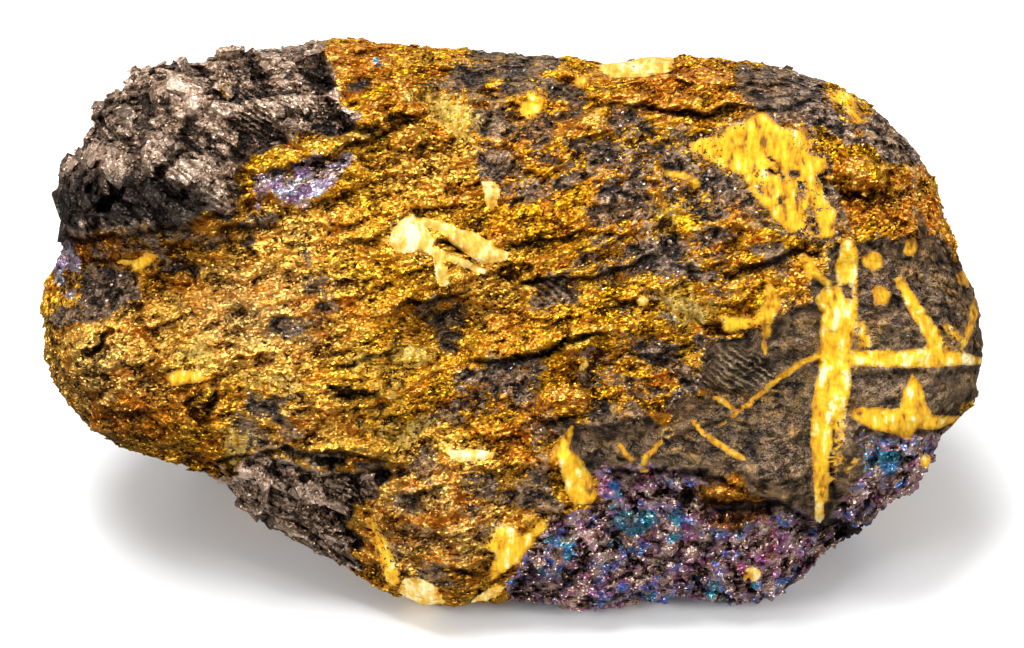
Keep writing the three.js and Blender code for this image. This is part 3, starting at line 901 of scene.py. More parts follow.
# %% Spots on the broad face
face_spots = {
    # Some pale spots, such as those low on the left and at the slab's right end, lighten places that face
    # away from the lamps: painted light there, real paleness elsewhere.
    "pale": [
        (30, 1.2, 2, 2, 0.9), (-8, -20, 8, 7, 0.9), (-43, -6, 8, 7, 0.8), (42, -7.4, 6, 1.6, 1.0),
        (47.5, -6.5, 3.5, 2.5, 1.3), (39, -3, 5, 5, 0.5), (-10.6, 9.2, 2.2, 2, 1.0),
        (-4.4, -13.6, 3, 0.8, 1.0), (33.6, -6, 2.2, 12, 0.9), (34.6, 3, 1.6, 6, 0.7),
        (43, -3, 6, 1.5, 0.6), (-27, 1, 9, 6, 1.0), (-24, 9, 8, 4, 0.5), (-38, 0, 8, 4, 0.5),
        (-22, -10, 8, 5, 0.4), (-9, 16, 6, 5, 0.35), (-3, 3, 7, 5, 0.3), (22.5, -4, 3, 2.4, 0.9),
        (47, -6.5, 3, 2, 0.9), (-8.5, -20.5, 5, 4, 0.6), (42.5, 13, 3, 3, 0.5),
        (35.2, 2, 1.4, 2.4, 0.9), (46.5, -3.4, 2.5, 0.7, 1.0), (39, -3.6, 1.2, 0.6, 0.9),
        (44, -1, 0.8, 1.6, 0.8),
    ],
    "orange": [
        (16, -9.2, 5, 1.3, 1.0), (23, -7.8, 4, 1.3, 1.0), (19, -12.6, 3, 1.2, 0.6),
        (8, -12, 3, 1.4, 0.6), (12, -11.4, 5, 1.6, 0.6), (23, -17.6, 5, 1.6, 1.0),
        (24, -20.6, 4, 1.6, 0.6), (37.4, 0, 2, 4, 0.7), (41, 6, 4, 3, 0.6), (47, 4, 3, 4, 0.5),
        (31, -1, 1.4, 3, 0.8), (-16, 27, 5, 6, 1.0), (-12, 24, 6, 5, 0.9), (18, 25, 10, 4, 1.0),
        (42, 12, 5, 7, 0.8), (36, 12, 4, 3, 0.9), (7, 12, 9, 7, 0.5), (2, 20, 8, 6, 0.7),
        (-36, -9, 7, 3, 0.7), (-44, 8, 5, 2.5, 0.9), (1, -12, 4, 4, 0.8), (-2, -8, 5, 2, 0.7),
        (-10, -22, 6, 5, 0.6), (-18, 2, 4, 2.5, 0.5), (12, -7, 4, 2, 0.5), (22, 8, 6, 6, 0.4),
        (-36, 4, 4, 2, 0.5), (36, 16, 3, 2.5, 0.4),
    ],
    "speckled": [
        (-5, 26.5, 4, 4, 1.0), (12, 12, 14, 14, 1.0), (20, 6, 8, 8, 0.8), (2, 20, 9, 7, 0.9),
        (-4, -10, 14, 7, 0.8), (-8, -20, 10, 7, 1.0), (10, -5, 9, 5, 0.8), (42, 14, 4, 5, 0.4),
        (-28, -10, 7, 4, 0.6), (35, 22, 9, 5, 0.8), (-20, 3, 7, 6, 0.6), (-46, 5, 6, 5, 0.7),
        (-30, 9, 10, 3, 0.7), (-8, 1, 4, 3, 0.6), (40, 5, 6, 4, 0.35),
    ],
    "sooty": [
        (25, -2, 6, 4, 0.3), (39, 3, 5, 4, 0.6), (42, -7, 5, 2, 0.5), (28, -14, 6, 3, 0.4),
        (34, 21, 8, 5, 1.0), (42, 18, 4, 3, 1.0), (13, 11, 8, 9, 0.8), (-1, 16, 5, 5, 0.8),
        (12, -3, 7, 3, 0.8), (-3, -6, 6, 3, 0.7), (20, 8, 5, 5, 0.7), (20, 14, 5, 3, 0.6),
        (44, 4, 4, 4, 0.3), (-42, 3, 5, 3, 0.6),
    ],
    "magenta": [
        (12.5, -16.8, 4.5, 2.2, 1.0), (28, -24, 2.6, 2.2, 0.8), (11, -28, 4, 2, 0.7),
        (18.5, -15.6, 3, 1.2, 0.7), (7.6, -22, 1.4, 1.4, 0.7), (24, -24, 5, 3, 0.4),
        (-45.6, 9, 2, 2, 0.5), (39, -18, 3, 1.5, 0.7), (-20, 15, 5, 2, 0.4),
    ],
    "blue": [
        (14, -28.4, 4, 1.4, 1.0), (23, -28, 4, 1.4, 0.9), (29, -27, 2.5, 1.8, 0.8),
        (5, -22.8, 2.4, 1.4, 0.8), (38, -14, 4, 3, 0.9), (19, -21.5, 2.2, 2, 0.7),
        (-47, 6, 1.5, 4, 0.9), (-22, 15, 3, 2, 0.5), (10.5, -18.8, 2, 1, 0.8),
    ],
    "ribbed": [
        (22.6, -4.8, 4.4, 2.4, 1.1), (-9.4, -3, 2.2, 1.4, 0.8), (-27, 22, 3, 3, 0.8),
        (-34, 16.5, 4, 2.4, 0.9), (-43, 19.5, 4, 3, 0.5), (-17.6, -17.6, 2.4, 2, 0.8),
        (4.6, 3.4, 2.4, 1.4, 0.8), (-24, -17, 4, 2, 0.5), (8.8, -12.6, 2.4, 2, 0.3),
        (-30, 13, 2, 3, 0.7),
    ],
}
# Spots of painted shade: the deepest under the knob's overhang, others in pits, on low undersides and on
# the top that faces the lamps.
shade_spots = [
    (-14.5, 26.5, 5, 4, 0.34), (-8.6, 0.4, 3.4, 1.6, 0.6), (-44.5, 12.8, 4.5, 3.0, 1.6),
    (-39.5, 12.6, 5, 3.1, 1.6), (-35, 12.2, 4.5, 2.4, 1.5), (-47, 10.4, 2, 1.8, 1.2),
    (-23.5, 17.8, 4, 0.9, 0.45), (-33, 14.2, 2.5, 0.9, 0.7), (36, -21.6, 4, 1.6, 1.0),
    (-7.6, 0.6, 1.6, 0.8, 0.6), (-6, 1.8, 1.2, 0.6, 0.5), (-14, -14.6, 2, 1.2, 0.7),
    (-26, -19, 4, 2, 0.4), (4, -27, 4, 1.2, 0.5), (-40, -12.6, 5, 1, 0.6),
]
print(sum(len(spots) for spots in face_spots.values()), "spots of", sorted(face_spots))

# %% Add zones from waves on the hidden sides
HIDDEN_ZONES = {
    "pale": (19.0, 81, 0, 0.9), "orange": (14.0, 83, -0.2, 0.6), "sooty": (17.0, 85, -0.2, 0.5),
    "magenta": (7.0, 87, 0, 0.5), "blue": (8.0, 88, 0.1, 0.6), "ribbed": (9.0, 89, 0.2, 0.7),
}  # the length of their waves in mm, a seed, and the heights of wave at which a zone starts and fills

painted = {name: soft_spots(loose_uv, spots) * (1 - hidden) for name, spots in face_spots.items()}
for name, (length, seed, start, full) in HIDDEN_ZONES.items():
    painted[name] += hidden * rise(rough(blank_mm, length, seed), start, full)
painted["speckled"] += 0.7 * hidden
painted["pale"] -= 0.6 * rise(pebble_depth, -0.3, 0.3) * (1 - hidden)
shade = np.clip(soft_spots(loose_uv, shade_spots), 0, 1) * (1 - hidden)
for name, strength in painted.items():
    print(name, "has a mean strength of", strength.mean().round(2))

# %% [markdown]
# ## Sheets that step down the face
#
# The gold ore split along its grain, which rises a little from left to right. Each sheet stands
# proud at its lower edge, drops to the one below, and casts a thin black shadow there. Waves would
# only make rolling hills of it. A sawtooth over the distance across the grain makes exactly that
# edge: a slow rise, then a sudden drop.

# %% Directions of the grain
GRAIN_RISE = math.radians(17)  # of the sheets' edges across the face
GRAIN_DIP = math.radians(28)  # of the sheets into the rock
GRAIN_STRETCH = np.array([2.3, 1, 1])  # how much longer than wide the crumples are
along = np.array([math.cos(GRAIN_RISE), math.sin(GRAIN_RISE), 0])
up_face = np.array([-math.sin(GRAIN_RISE), math.cos(GRAIN_RISE), 0])
out_of_face = np.array([0, 0, 1])
grain_axes = np.array([
    along,
    math.cos(GRAIN_DIP) * up_face + math.sin(GRAIN_DIP) * out_of_face,
    math.cos(GRAIN_DIP) * out_of_face - math.sin(GRAIN_DIP) * up_face,
])
in_grain = blank_uvw @ grain_axes.T
crumple_places = in_grain / GRAIN_STRETCH
print("along the grain is", grain_axes[0].round(2), "in face directions")

# %% Sheets and facets of gold
GOLD_SHEETS = [(0.6, 5.6, 101), (0.28, 2.5, 111), (0.12, 1.2, 121)]  # height, thickness and seed
GOLD_FACETS = [(3.4, 0.26, 131), (1.5, 0.3, 132), (0.8, 0.34, 133)]  # size, tilt and seed

def sheets(thickness, seed):
    """0 to 1: 1 along each sheet's lower edge, falling away above it, in ledges that come and go."""
    drift = waves(crumple_places, 3.2 * thickness, seed) * 1.1
    drift += waves(crumple_places, 1.2 * thickness, seed + 1) * 0.35
    across = in_grain[:, 1] / thickness + drift
    sheet = np.floor(across)
    alone = np.stack([in_grain[:, 0] / (6 * thickness), sheet * 3.7, np.zeros(POINTS)], axis=1)
    strength = rise(waves(alone, 1.0, seed + 2), -0.5, 0.45)
    return (1 - (across - sheet)) * strength

def tilted(places, size, tilt, seed):
    """Facets, each a grain's flat break, in the unit of places."""
    offset, numbers, _ = grains(places, size, seed)
    return tilt * (offset * numbers).sum(axis=1)

gold_relief = sum(height * sheets(thickness, seed) for height, thickness, seed in GOLD_SHEETS)
gold_relief += sum(tilted(crumple_places, *facet) for facet in GOLD_FACETS)
print("the gold's relief runs over", np.ptp(gold_relief).round(2), "mm")

# %% How the other minerals break
KNOB_TURN = math.radians(-38)  # of the knob's cleavage across the face

def cleaved(places, size, step, tilt, seed):
    """Cleaved blocks: each stands at its own height with its own tilt."""
    offset, numbers, _ = grains(places, size, seed)
    return step * size * numbers[:, 2] + tilt * (offset * numbers).sum(axis=1)

def where_mineral(depth, make, places=blank_uvw):
    """Relief that is only worked out for the points in a mineral or close to it."""
    made = np.zeros(POINTS)
    near = depth > -1
    made[near] = make(places[near])
    return made

def knob_blocks(places):
    broad = cleaved(places, 5.4, 0.08, 0.48, 141)
    return broad + cleaved(places, 2.3, 0.10, 0.42, 142) + tilted(places, 0.9, 0.34, 143)

def tarnish_blocks(places):
    broad = cleaved(places, 2.8, 0.09, 0.4, 162)
    return broad + cleaved(places, 1.3, 0.10, 0.4, 163) + tilted(places, 0.75, 0.32, 164)

def matrix_grains(places):
    return 0.35 * rough(places, 3.5, 152) + tilted(places, 2.2, 0.3, 153) + tilted(places, 0.9, 0.4, 154)

def calcite_grains(places):
    return 0.3 + tilted(places, 2.4, 0.22, 171) + tilted(places, 1.0, 0.2, 172)

def quartz_grains(places):
    return tilted(places, 1.8, 0.3, 181) + 0.2 * rough(places, 1.5, 182)

def gaps(depth, places, size, width, seed):
    """1 in the gaps between some of a mineral's grains."""
    def make(near_places):
        _, _, gap = grains(near_places, size, seed)
        open_here = rise(waves(near_places, 1.6 * size, seed + 3), -0.2, 0.25)
        return rise(width - gap, 0, width) * open_here
    return where_mineral(depth, make, places) * rise(depth, 0, 0.8)

along_knob = np.array(Matrix.Rotation(-KNOB_TURN, 3, "Z"))
knob_places = blank_uvw @ along_knob.T / SIDEWAYS
knob_gaps = gaps(sulphide_depth, knob_places, 2.3, 0.34, 142)
matrix_gaps = gaps(matrix_depth, blank_uvw / [1.6, 1, 1], 1.7, 0.22, 158)
tarnish_gaps = gaps(tarnish_depth, blank_uvw, 1.8, 0.26, 165)
print("the knob's gaps take", round(float((knob_gaps > 0.5).mean()) * 100, 1), "per cent of the points")

# %% One relief for all of them
in_slab = inside_outline(loose_uv, matrix_patches["slab"])
smooth_slab = rise(in_slab, 0.3, 2.0) * (1 - hidden)
sulphide_relief = where_mineral(sulphide_depth, knob_blocks, knob_places) - 0.5 * knob_gaps
matrix_relief = 0.5 * sheets(4.2, 151) + where_mineral(matrix_depth, matrix_grains) - 0.3 * matrix_gaps
tarnish_relief = 0.4 * sheets(5.0, 161) + where_mineral(tarnish_depth, tarnish_blocks) - 0.4 * tarnish_gaps
olive_relief = 0.25 * rough(blank_uvw, 2.0, 183)
calcite_relief = where_mineral(calcite_depth, calcite_grains)
quartz_relief = where_mineral(quartz_depth, quartz_grains)
QUARTZ_BULGE = 1.1  # how far the middle of a thick lump of quartz stands out
LAID_OVER = [
    (matrix_relief, matrix_depth, 0.5), (sulphide_relief, sulphide_depth, 0.6),
    (tarnish_relief, tarnish_depth, 0.6), (olive_relief, olive_depth, 0.4),
    (calcite_relief, calcite_depth, 0.15), (quartz_relief, quartz_depth, 0.25),
]  # each with the depth over which it takes over from what lies below

relief = gold_relief
for other, depth, blur in LAID_OVER:
    share = rise(depth, -blur, blur)
    relief = relief * (1 - share) + other * share
relief += QUARTZ_BULGE * np.sqrt(np.clip(quartz_depth / 1.6, 0, 1))
# The gaps between grains are sunk and also painted dark: painted shade.
shade = np.maximum.reduce([shade, 0.85 * knob_gaps, 0.7 * matrix_gaps, 0.8 * tarnish_gaps])
print("the whole relief runs over", np.ptp(relief).round(2), "mm")

# %% [markdown]
# ## Ledges, lumps, pits and cracks
#
# These are the features that one knows the lump by, and they could be sculpted with a brush. Numbers
# are used instead, since they can be corrected one at a time. A ledge is a line with the rock above
# it standing out and a painted shadow in the corner below it; a lump is an outline that swells; a pit
# is a soft spot that sinks; a crack is a thin spine, cut in and painted black as painted shade.

# %% Ledges, lumps, pits and cracks
ledge_lines = [
    ([(-52, 9), (-45, 9.2), (-38, 9.7), (-33, 11), (-28.5, 12)], 1.6, 6.0),
    ([(-31.5, 10.5), (-28, 10.5), (-25, 11)], 0.9, 2.5),
    ([(-27, 15.4), (-23, 16.6), (-19, 18), (-15, 19.7), (-11.5, 21.2), (-9, 21.9)], 1.3, 4.0),
    ([(-20, 8.3), (-16, 8.8), (-13.2, 9.9)], 0.7, 2.5),
    ([(-20, -6.7), (-17, -7), (-14, -7.2), (-12.5, -7.6)], 1.1, 3.0),
    ([(-20, -4.4), (-16.5, -3.9), (-13, -2.6), (-10.6, 0.2)], 0.8, 2.5),
    ([(-13.4, 2.1), (-11, 2.8), (-8, 2.7), (-5.5, 3.5), (-4, 3.2)], 1.0, 3.0),
    ([(-5, -3.3), (-3, -3.6), (0, -3.5), (3, -3.1), (5.5, -2.1), (8, -1.2), (11, -0.9)], 1.2, 3.5),
    ([(-1.5, 9.2), (2, 8.7), (5, 9.4), (8.5, 10)], 0.8, 2.5),
    ([(-0.4, 4.1), (2, 4.7), (5, 5.3), (8.3, 5.4), (10.5, 6), (13, 6.7), (16, 8)], 1.1, 3.0),
    ([(8, 23.4), (11.3, 23.3), (13.5, 22.9), (17, 22.3), (22, 22.3), (25.2, 23), (30, 22.6)], 0.9, 3.0),
    ([(22.5, 5), (25, 5.8), (27, 6.6), (29.5, 7.8), (31, 7.8)], 0.9, 2.5),
    ([(1.8, -9.4), (5, -9.9), (8.8, -8.8)], 1.2, 2.5),
    ([(-12.8, -16.9), (-10.5, -17.7), (-8, -16.8), (-6, -15.5)], 0.9, 2.5),
    ([(-38.4, -4.8), (-36.8, -5.1), (-34, -4.7)], 0.8, 2.0),
    ([(19.4, -18.5), (22, -19), (24.5, -19.1), (27.2, -18.6), (29.6, -19)], 1.3, 3.0),
    ([(34.2, 13.9), (36.3, 13.5), (38, 13.6), (39.5, 14.2)], 1.4, 3.0),
    ([(12, -3.4), (16, -3.2), (19.5, -2.4)], 0.8, 2.0),
    ([(20, -6.2), (22.5, -6.9), (25.4, -6.3)], 1.0, 3.0),
    ([(5.5, -10.2), (9, -10.4), (12, -9.8)], 0.6, 2.0),
    ([(9, -14.8), (13, -15.4), (17, -14.8), (22, -16), (28, -18.6), (33, -20.8)], 1.2, 4.0),
    ([(33.4, -20.4), (36, -20.6), (38.8, -20.2)], 2.0, 3.0),
    ([(35.2, -4.9), (38, -5), (42, -4.8), (48, -4.7)], 0.6, 1.5),
    ([(-33, -14.8), (-29, -13.8), (-24, -12.9), (-18, -13.2), (-13, -14.4)], 1.1, 3.0),
    ([(-9, -24.8), (-6, -25.8), (-2.5, -25.8)], 0.9, 2.0),
]
lumps = [
    (gold_windows["hill"], 1.4, 1.6),
    ([(2.2, -7.6), (2.8, -5.6), (5.4, -4.8), (8.6, -6.8), (8.6, -8.4), (6, -9.4), (3, -9)], 1.2, 1.6),
    ([
        (19.4, -18.4), (20, -16.8), (22.5, -16.2), (24.5, -16.5), (26.8, -18.3), (25.4, -18.8),
        (21, -18.5),
    ], 1.3, 1.0),
    ([(-12.6, -4.2), (-11.4, -2), (-10.2, -1.2), (-8.4, -2.6), (-7.6, -4.3), (-9.5, -4.9)], 1.0, 1.2),
    ([(19.6, -3.2), (21, -1.8), (24, -1.8), (26, -3.6), (24.6, -6), (21.5, -6.2)], 0.8, 1.4),
    ([(28, -2.2), (28.2, 0.4), (30, 1.6), (32, 0.6), (32.2, -2.2), (30, -3)], 0.6, 0.8),
    ([(-48, 3), (-49, -4), (-44, -10), (-38, -10), (-36, -2), (-41, 2)], 0.8, 4.0),
    ([(-51, 10.5), (-38, 10.6), (-31, 12), (-29, 16), (-33, 20), (-40, 22), (-50, 20)], 2.6, 5.0),
    ([(-46, 22.8), (-43, 24.4), (-40.2, 24.8), (-40.2, 22.6), (-44, 21.2)], 1.0, 0.5),
    ([(10.3, -20.4), (12.4, -18.6), (14.8, -20.6), (13.2, -22.9), (11.2, -21.8)], 0.7, 0.8),
]
pits = [
    (-7.8, 0.7, 2.4, 0.8, 0.9), (-6.2, 1.6, 1.2, 0.7, 0.7), (-9.4, -0.3, 1.4, 0.6, 0.5),
    (-4.5, 6.0, 0.7, 0.45, 0.9), (35.6, -9.9, 0.9, 0.5, 1.2), (-6.9, 7.9, 1.2, 0.35, 0.7),
    (36, -22, 3.5, 1.2, 1.5), (-9.5, 3.0, 2.5, 0.6, 0.6), (21, -0.4, 1.5, 0.6, 0.9),
    (-26, 9.8, 2.0, 0.4, 0.7), (-33.2, 5.4, 1.3, 0.35, 1.0), (15, 22.9, 1.6, 0.4, 0.8),
    (12, -24, 2.0, 0.8, 0.8), (19.4, -28.2, 0.8, 1.0, 0.8),
]
cracks = [
    ([(-17.8, 20.3, 0.2), (-15, 20.2, 0.3), (-12.4, 21.2, 0.22), (-9.4, 21.9, 0.1)], 1.0),
    ([(-44.6, -3, 0.1), (-43, -2.1, 0.22), (-41.6, -0.8, 0.08)], 0.7),
    ([(-30.9, -5.6, 0.15), (-31.2, -8, 0.3), (-32, -9.8, 0.15)], 0.5),
    ([(34.5, 13.9, 0.15), (36.5, 13.5, 0.28), (39.2, 14.1, 0.12)], 1.0),
    ([(14.5, 22.2, 0.15), (17, 22.2, 0.25), (20, 22.1, 0.2), (24, 22.9, 0.15)], 0.8),
    ([(22.6, 5.1, 0.15), (26, 6.2, 0.22), (28.6, 7.5, 0.28), (30.5, 7.8, 0.2), (32, 7.2, 0.1)], 0.9),
    ([(0, -3.5, 0.2), (3, -3.1, 0.28), (6, -1.9, 0.2), (9, -1.1, 0.15)], 0.9),
    ([(-19, -6.6, 0.2), (-16.5, -7.1, 0.35), (-14, -7.1, 0.15)], 0.9),
    ([(20, -18.6, 0.15), (23, -19, 0.28), (26, -18.7, 0.22), (29, -19, 0.12)], 0.9),
    ([(12.6, -3.3, 0.15), (15, -3.3, 0.25), (18.6, -2.4, 0.12)], 0.7),
    ([(-8, 8.6, 0.12), (-6.4, 8.2, 0.16), (-5.2, 7.5, 0.1)], 0.6),
    ([(33.5, -10.2, 0.1), (33.6, -13, 0.14), (33.5, -17.5, 0.1)], 0.6),
]

print(len(ledge_lines), "ledges,", len(lumps), "lumps,", len(pits), "pits and", len(cracks), "cracks")

# %% Cut them into the face
def ledge_relief(uv, line, stand_out, fade):
    """The rock standing out above a line, and a painted shadow in the corner below it."""
    corners = np.array(line, float)
    above = uv[:, 1] - np.interp(uv[:, 0], corners[:, 0], corners[:, 1])
    from_ends = np.minimum(uv[:, 0] - corners[0, 0], corners[-1, 0] - uv[:, 0])
    ends = rise(from_ends, 0, 2)
    ledge_shadow = np.exp(-((above + 0.3) / 0.34) ** 2) * ends * min(stand_out, 1)
    return stand_out * rise(above, -0.35, 0) * np.exp(-np.clip(above, 0, None) / fade) * ends, ledge_shadow

by_hand = np.zeros(POINTS)
for line, stand_out, fade in ledge_lines:
    step, ledge_shadow = ledge_relief(ledge_uv, line, stand_out, fade)
    by_hand += step
    # the corner below each ledge gets a painted shadow
    shade = np.maximum(shade, ledge_shadow * (1 - hidden))
for outline, height, slope in lumps:
    by_hand += height * rise(inside_outline(tight_uv, outline), -0.2, slope)
for *spot, depth in pits:
    by_hand -= soft_spots(loose_uv, [(*spot, depth)])
for spine, depth in cracks:
    crack = rise(inside_spine(ledge_uv, spine), -0.25, 0.1)
    by_hand -= depth * crack
    # cracks are painted black as well as cut: painted shade
    shade = np.maximum(shade, crack * (1 - hidden))
by_hand *= (1 - hidden) * rise(facing, 0.1, 0.7)
print("relief placed by hand runs over", np.ptp(by_hand).round(2), "mm")

# %% [markdown]
# ## Carving
#
# A bump would fake all this relief, but the outline and the exported mesh would stay smooth, so the
# relief moves the mesh's own points. On the broad face it pushes them straight out of the face, so
# that a ledge keeps its line when it is seen from the front. Round the rim and behind, it pushes
# along the skin's own normal. It fades out just above the break that the lump rests on, and nothing
# goes below that break.

# %% Push the blank's points out
FOOT_FADE_MM = 1.8
KNOB_TRIM_MM = 1.0  # what its blocks add round the knob's rim, taken off first
CHIP_MM = 0.07  # how far a single point is pushed out or in, to break up the smooth parts
CHIP_SOFT_MM = 0.03
CHIP_STONE_MM = 0.02
ROUGHEST_BASE_MM = 1.4
RIM_RELIEF = 0.45  # what is left of the relief at the rim, where it would spoil the outline

straight = rise(facing, 0.1, 0.6)[:, None]
push = straight * face_axes[2] + (1 - straight) * blank_normals
push /= np.linalg.norm(push, axis=1)[:, None]
height = blank_mm[:, 2]
clear_of_base = rise(height, 0.05, FOOT_FADE_MM)
off_rim = rise(np.abs(facing), 0.05, 0.5)
softer = np.maximum(smooth_slab, sulphide_depth > 0)
is_stone = np.maximum(calcite_depth, quartz_depth) > 0
chip_size = np.where(is_stone, CHIP_STONE_MM, CHIP_MM - (CHIP_MM - CHIP_SOFT_MM) * softer)
chips = three_randoms(scramble(np.arange(POINTS)[:, None] * [1, 7, 13], 195))[:, 2] * chip_size
total_relief = (relief - relief.mean()) * (RIM_RELIEF + (1 - RIM_RELIEF) * off_rim) + by_hand + chips
total_relief -= KNOB_TRIM_MM * rise(sulphide_depth, 0, 1.5) * (1 - rise(facing, 0.2, 0.8))
carved_mm = blank_mm + push * (total_relief * clear_of_base)[:, None]
under = rise(-blank_normals[:, 2], 0.6, 0.95) * rise(-height, -0.6, -0.05)
base_roughness = 0.35 + 0.5 * rough(blank_mm, 6.0, 191) + tilted(blank_mm, 2.2, 0.25, 192)
carved_mm[:, 2] += under * np.clip(base_roughness, 0, ROUGHEST_BASE_MM)
carved_mm[:, 2] = np.maximum(carved_mm[:, 2], 0)
print("the carved lump's box in mm:", carved_mm.min(0).round(1), carved_mm.max(0).round(1))

# %% [markdown]
# ## What the carving tells the finish
#
# The finish paints crests lighter and crevices darker, as painted light and shade, so it needs to
# know which is which. A point is on a crest where it stands out from the average of its neighbours.
# Faces that look down their side of the lump are painted duller and more coppery, and faces that
# look up a little darker, both painted shade. The three minerals that shapes get scattered on need
# to be known as well. All of it is stored on the mesh, one number to a point.

# %% Crests and crevices
def read_whole(items, name, width=1):
    flat = np.zeros(len(items) * width, np.int64)
    items.foreach_get(name, flat)
    return flat.reshape(-1, width) if width > 1 else flat

edges = read_whole(ore_mesh.edges, "vertices", 2)
ends = np.concatenate([edges[:, 0], edges[:, 1]])
others = np.concatenate([edges[:, 1], edges[:, 0]])
neighbours = np.bincount(ends, minlength=POINTS)

def relaxed(values, rounds):
    """Each point's value averaged with its neighbours', again and again."""
    for _ in range(rounds):
        values = 0.5 * values + 0.5 * np.stack([
            np.bincount(ends, weights=column[others], minlength=POINTS) / neighbours for column in values.T
        ], axis=1)
    return values

fine_crest = ((carved_mm - relaxed(carved_mm, 5)) * push).sum(axis=1)
broad_crest = ((carved_mm - relaxed(carved_mm, 45)) * push).sum(axis=1)
crest = np.clip(fine_crest * 2.2 + broad_crest * 0.9, -1, 1)
print("crests and crevices, 5th to 95th percentile:", np.percentile(crest, [5, 50, 95]).round(2))

# %% Sides that look down
UP_FACING_SHADE = 0.24  # how much the faces that look up are darkened, as painted shade
ore_mesh.vertices.foreach_set("co", (carved_mm * MM).astype(np.float32).ravel())
ore_mesh.update()
upward = relaxed(read_vectors(ore_mesh.vertex_normals, "vector"), 1) @ face_axes[1]
# Faces that look down their side get painted shade: the gold there is darker and more coppery.
lee = rise(-upward, 0.0, 0.75) * (1 - hidden)
shade = np.maximum(shade, UP_FACING_SHADE * rise(upward, 0.25, 0.85) * (1 - hidden))
print("share of the skin that looks down its face:", lee.mean().round(2))

# %% Where shapes stand on the skin
off_stone = 1 - rise(np.maximum(calcite_depth, quartz_depth), -0.35, -0.05)
off_outline = 1 - 0.8 * np.exp(-(facing / 0.25) ** 2)
blocky = rise(sulphide_depth, 0.4, 1.2) * off_stone * off_outline
grainy = rise(tarnish_depth, 0.3, 1.0) * off_stone * rise(-stain_depth, -0.2, 0.4)
flaky = off_stone * rise(-sulphide_depth, 0.2, 0.8) * rise(-tarnish_depth, 0.2, 0.8)
flaky *= (1 - 0.45 * smooth_slab) * (1 - 0.65 * rise(matrix_depth, -0.3, 0.4))
flaky *= rise(-olive_depth, -0.3, 0.2)
print("flaky, blocky and grainy:", flaky.mean().round(2), blocky.mean().round(2), grainy.mean().round(2))

# %% Put the lump together
on_points = {
    "calcite": calcite_depth, "quartz": quartz_depth, "olive": olive_depth, "matrix": matrix_depth,
    "sulphide": sulphide_depth, "tarnish": tarnish_depth, "teal": teal_depth, "lilac": lilac_depth,
    "stain": stain_depth, "pocked": pocked, "slab": smooth_slab, "shade": shade, "crest": crest,
    "lee": lee, "flaky": flaky, "blocky": blocky, "grainy": grainy, **painted,
}
for name, values in on_points.items():
    layer = ore_mesh.attributes.new(name, "FLOAT", "POINT")
    layer.data.foreach_set("value", values.astype(np.float32))
ore = into_scene("ore", ore_mesh)

corner_points = read_whole(ore_mesh.loops, "vertex_index")
first_corner = read_whole(ore_mesh.polygons, "loop_start")
is_soft = is_stone | (olive_depth > 0.2)
ore_mesh.polygons.foreach_set("use_smooth", is_soft[corner_points[first_corner]])
print("the ore has", len(ore_mesh.polygons), "faces and", len(on_points), "numbers on each point")

# %% [markdown]
# ## The ore's finish
#
# Each mineral could have a material and faces of its own, but their borders would then run in steps
# along the mesh's edges. So one material covers the lump, and the depth of each mineral, roughened a
# little more, switches between their colours, their shine and how metallic they are. The crumpled
# look needs more than the mesh can hold, so facets down to a tenth of a millimetre are a bump: a
# Voronoi cell's random colour tilts that cell's patch of surface.

# %% Facets, grains and ragged edges
FACET_MM = 0.19  # of the smallest flat breaks
FACET_TILT = 1.35
GRAIN_MM = 0.95  # of the larger grains, which differ in colour only

def noise(bench, vector, size, roughness):
    inputs = {"Vector": vector, "Scale": 1 / size, "Detail": 2.0, "Roughness": roughness}
    return bench.add("ShaderNodeTexNoise", None, inputs)

def facets(bench, vector, size, tilt):
    """Height in mm of a surface broken into flat facets, and three random numbers per facet."""
    inputs = {"Vector": vector, "Scale": 1 / size}
    _, colour, middle = bench.add("ShaderNodeTexVoronoi", {"feature": "F1"}, inputs, output=None)[:3]
    lean = bench.vector("SUBTRACT", colour, (0.5, 0.5, 0.5))
    offset = bench.vector("SUBTRACT", vector, middle)
    height = bench.vector("DOT_PRODUCT", lean, offset, output="Value") * tilt
    return height, bench.add("ShaderNodeSeparateColor", None, {0: colour}, output=None)

def blocks_of_colour(bench, pattern):
    """Three random numbers for each of the larger grains, whose borders wander."""
    wander = pattern.mottle * 1.5 + pattern.patchy * 2.0
    block = bench.vector("FLOOR", bench.vector("ADD", bench.scaled(pattern.grain, 1 / GRAIN_MM), wander))
    chance = bench.add("ShaderNodeTexWhiteNoise", None, {"Vector": block}, output="Color")
    return bench.add("ShaderNodeSeparateColor", None, {0: chance}, output=None)

def edge(bench, pattern, name, roughen=0.12, blur=0.06):
    """1 inside a mineral and 0 outside, with its border roughened by so many mm."""
    return (bench.attribute(name) + pattern.wobble * roughen).rise(-blur, blur)

print("facets of", FACET_MM, "mm and grains of", GRAIN_MM, "mm")

# %% The patterns that the minerals share
MOTTLE_MM = 0.5
PATCH_MM = 2.6
CREASES_PER_PATCH = 6.0
CREASE_DEPTH = 0.14
RIB_MM = 0.3  # half way from one rib to the next on a ribbed break
RIB_TURN = math.radians(-32)  # of the ribs across the face
RIB_BEND_MM = 0.9
RIB_DEPTH = 0.2

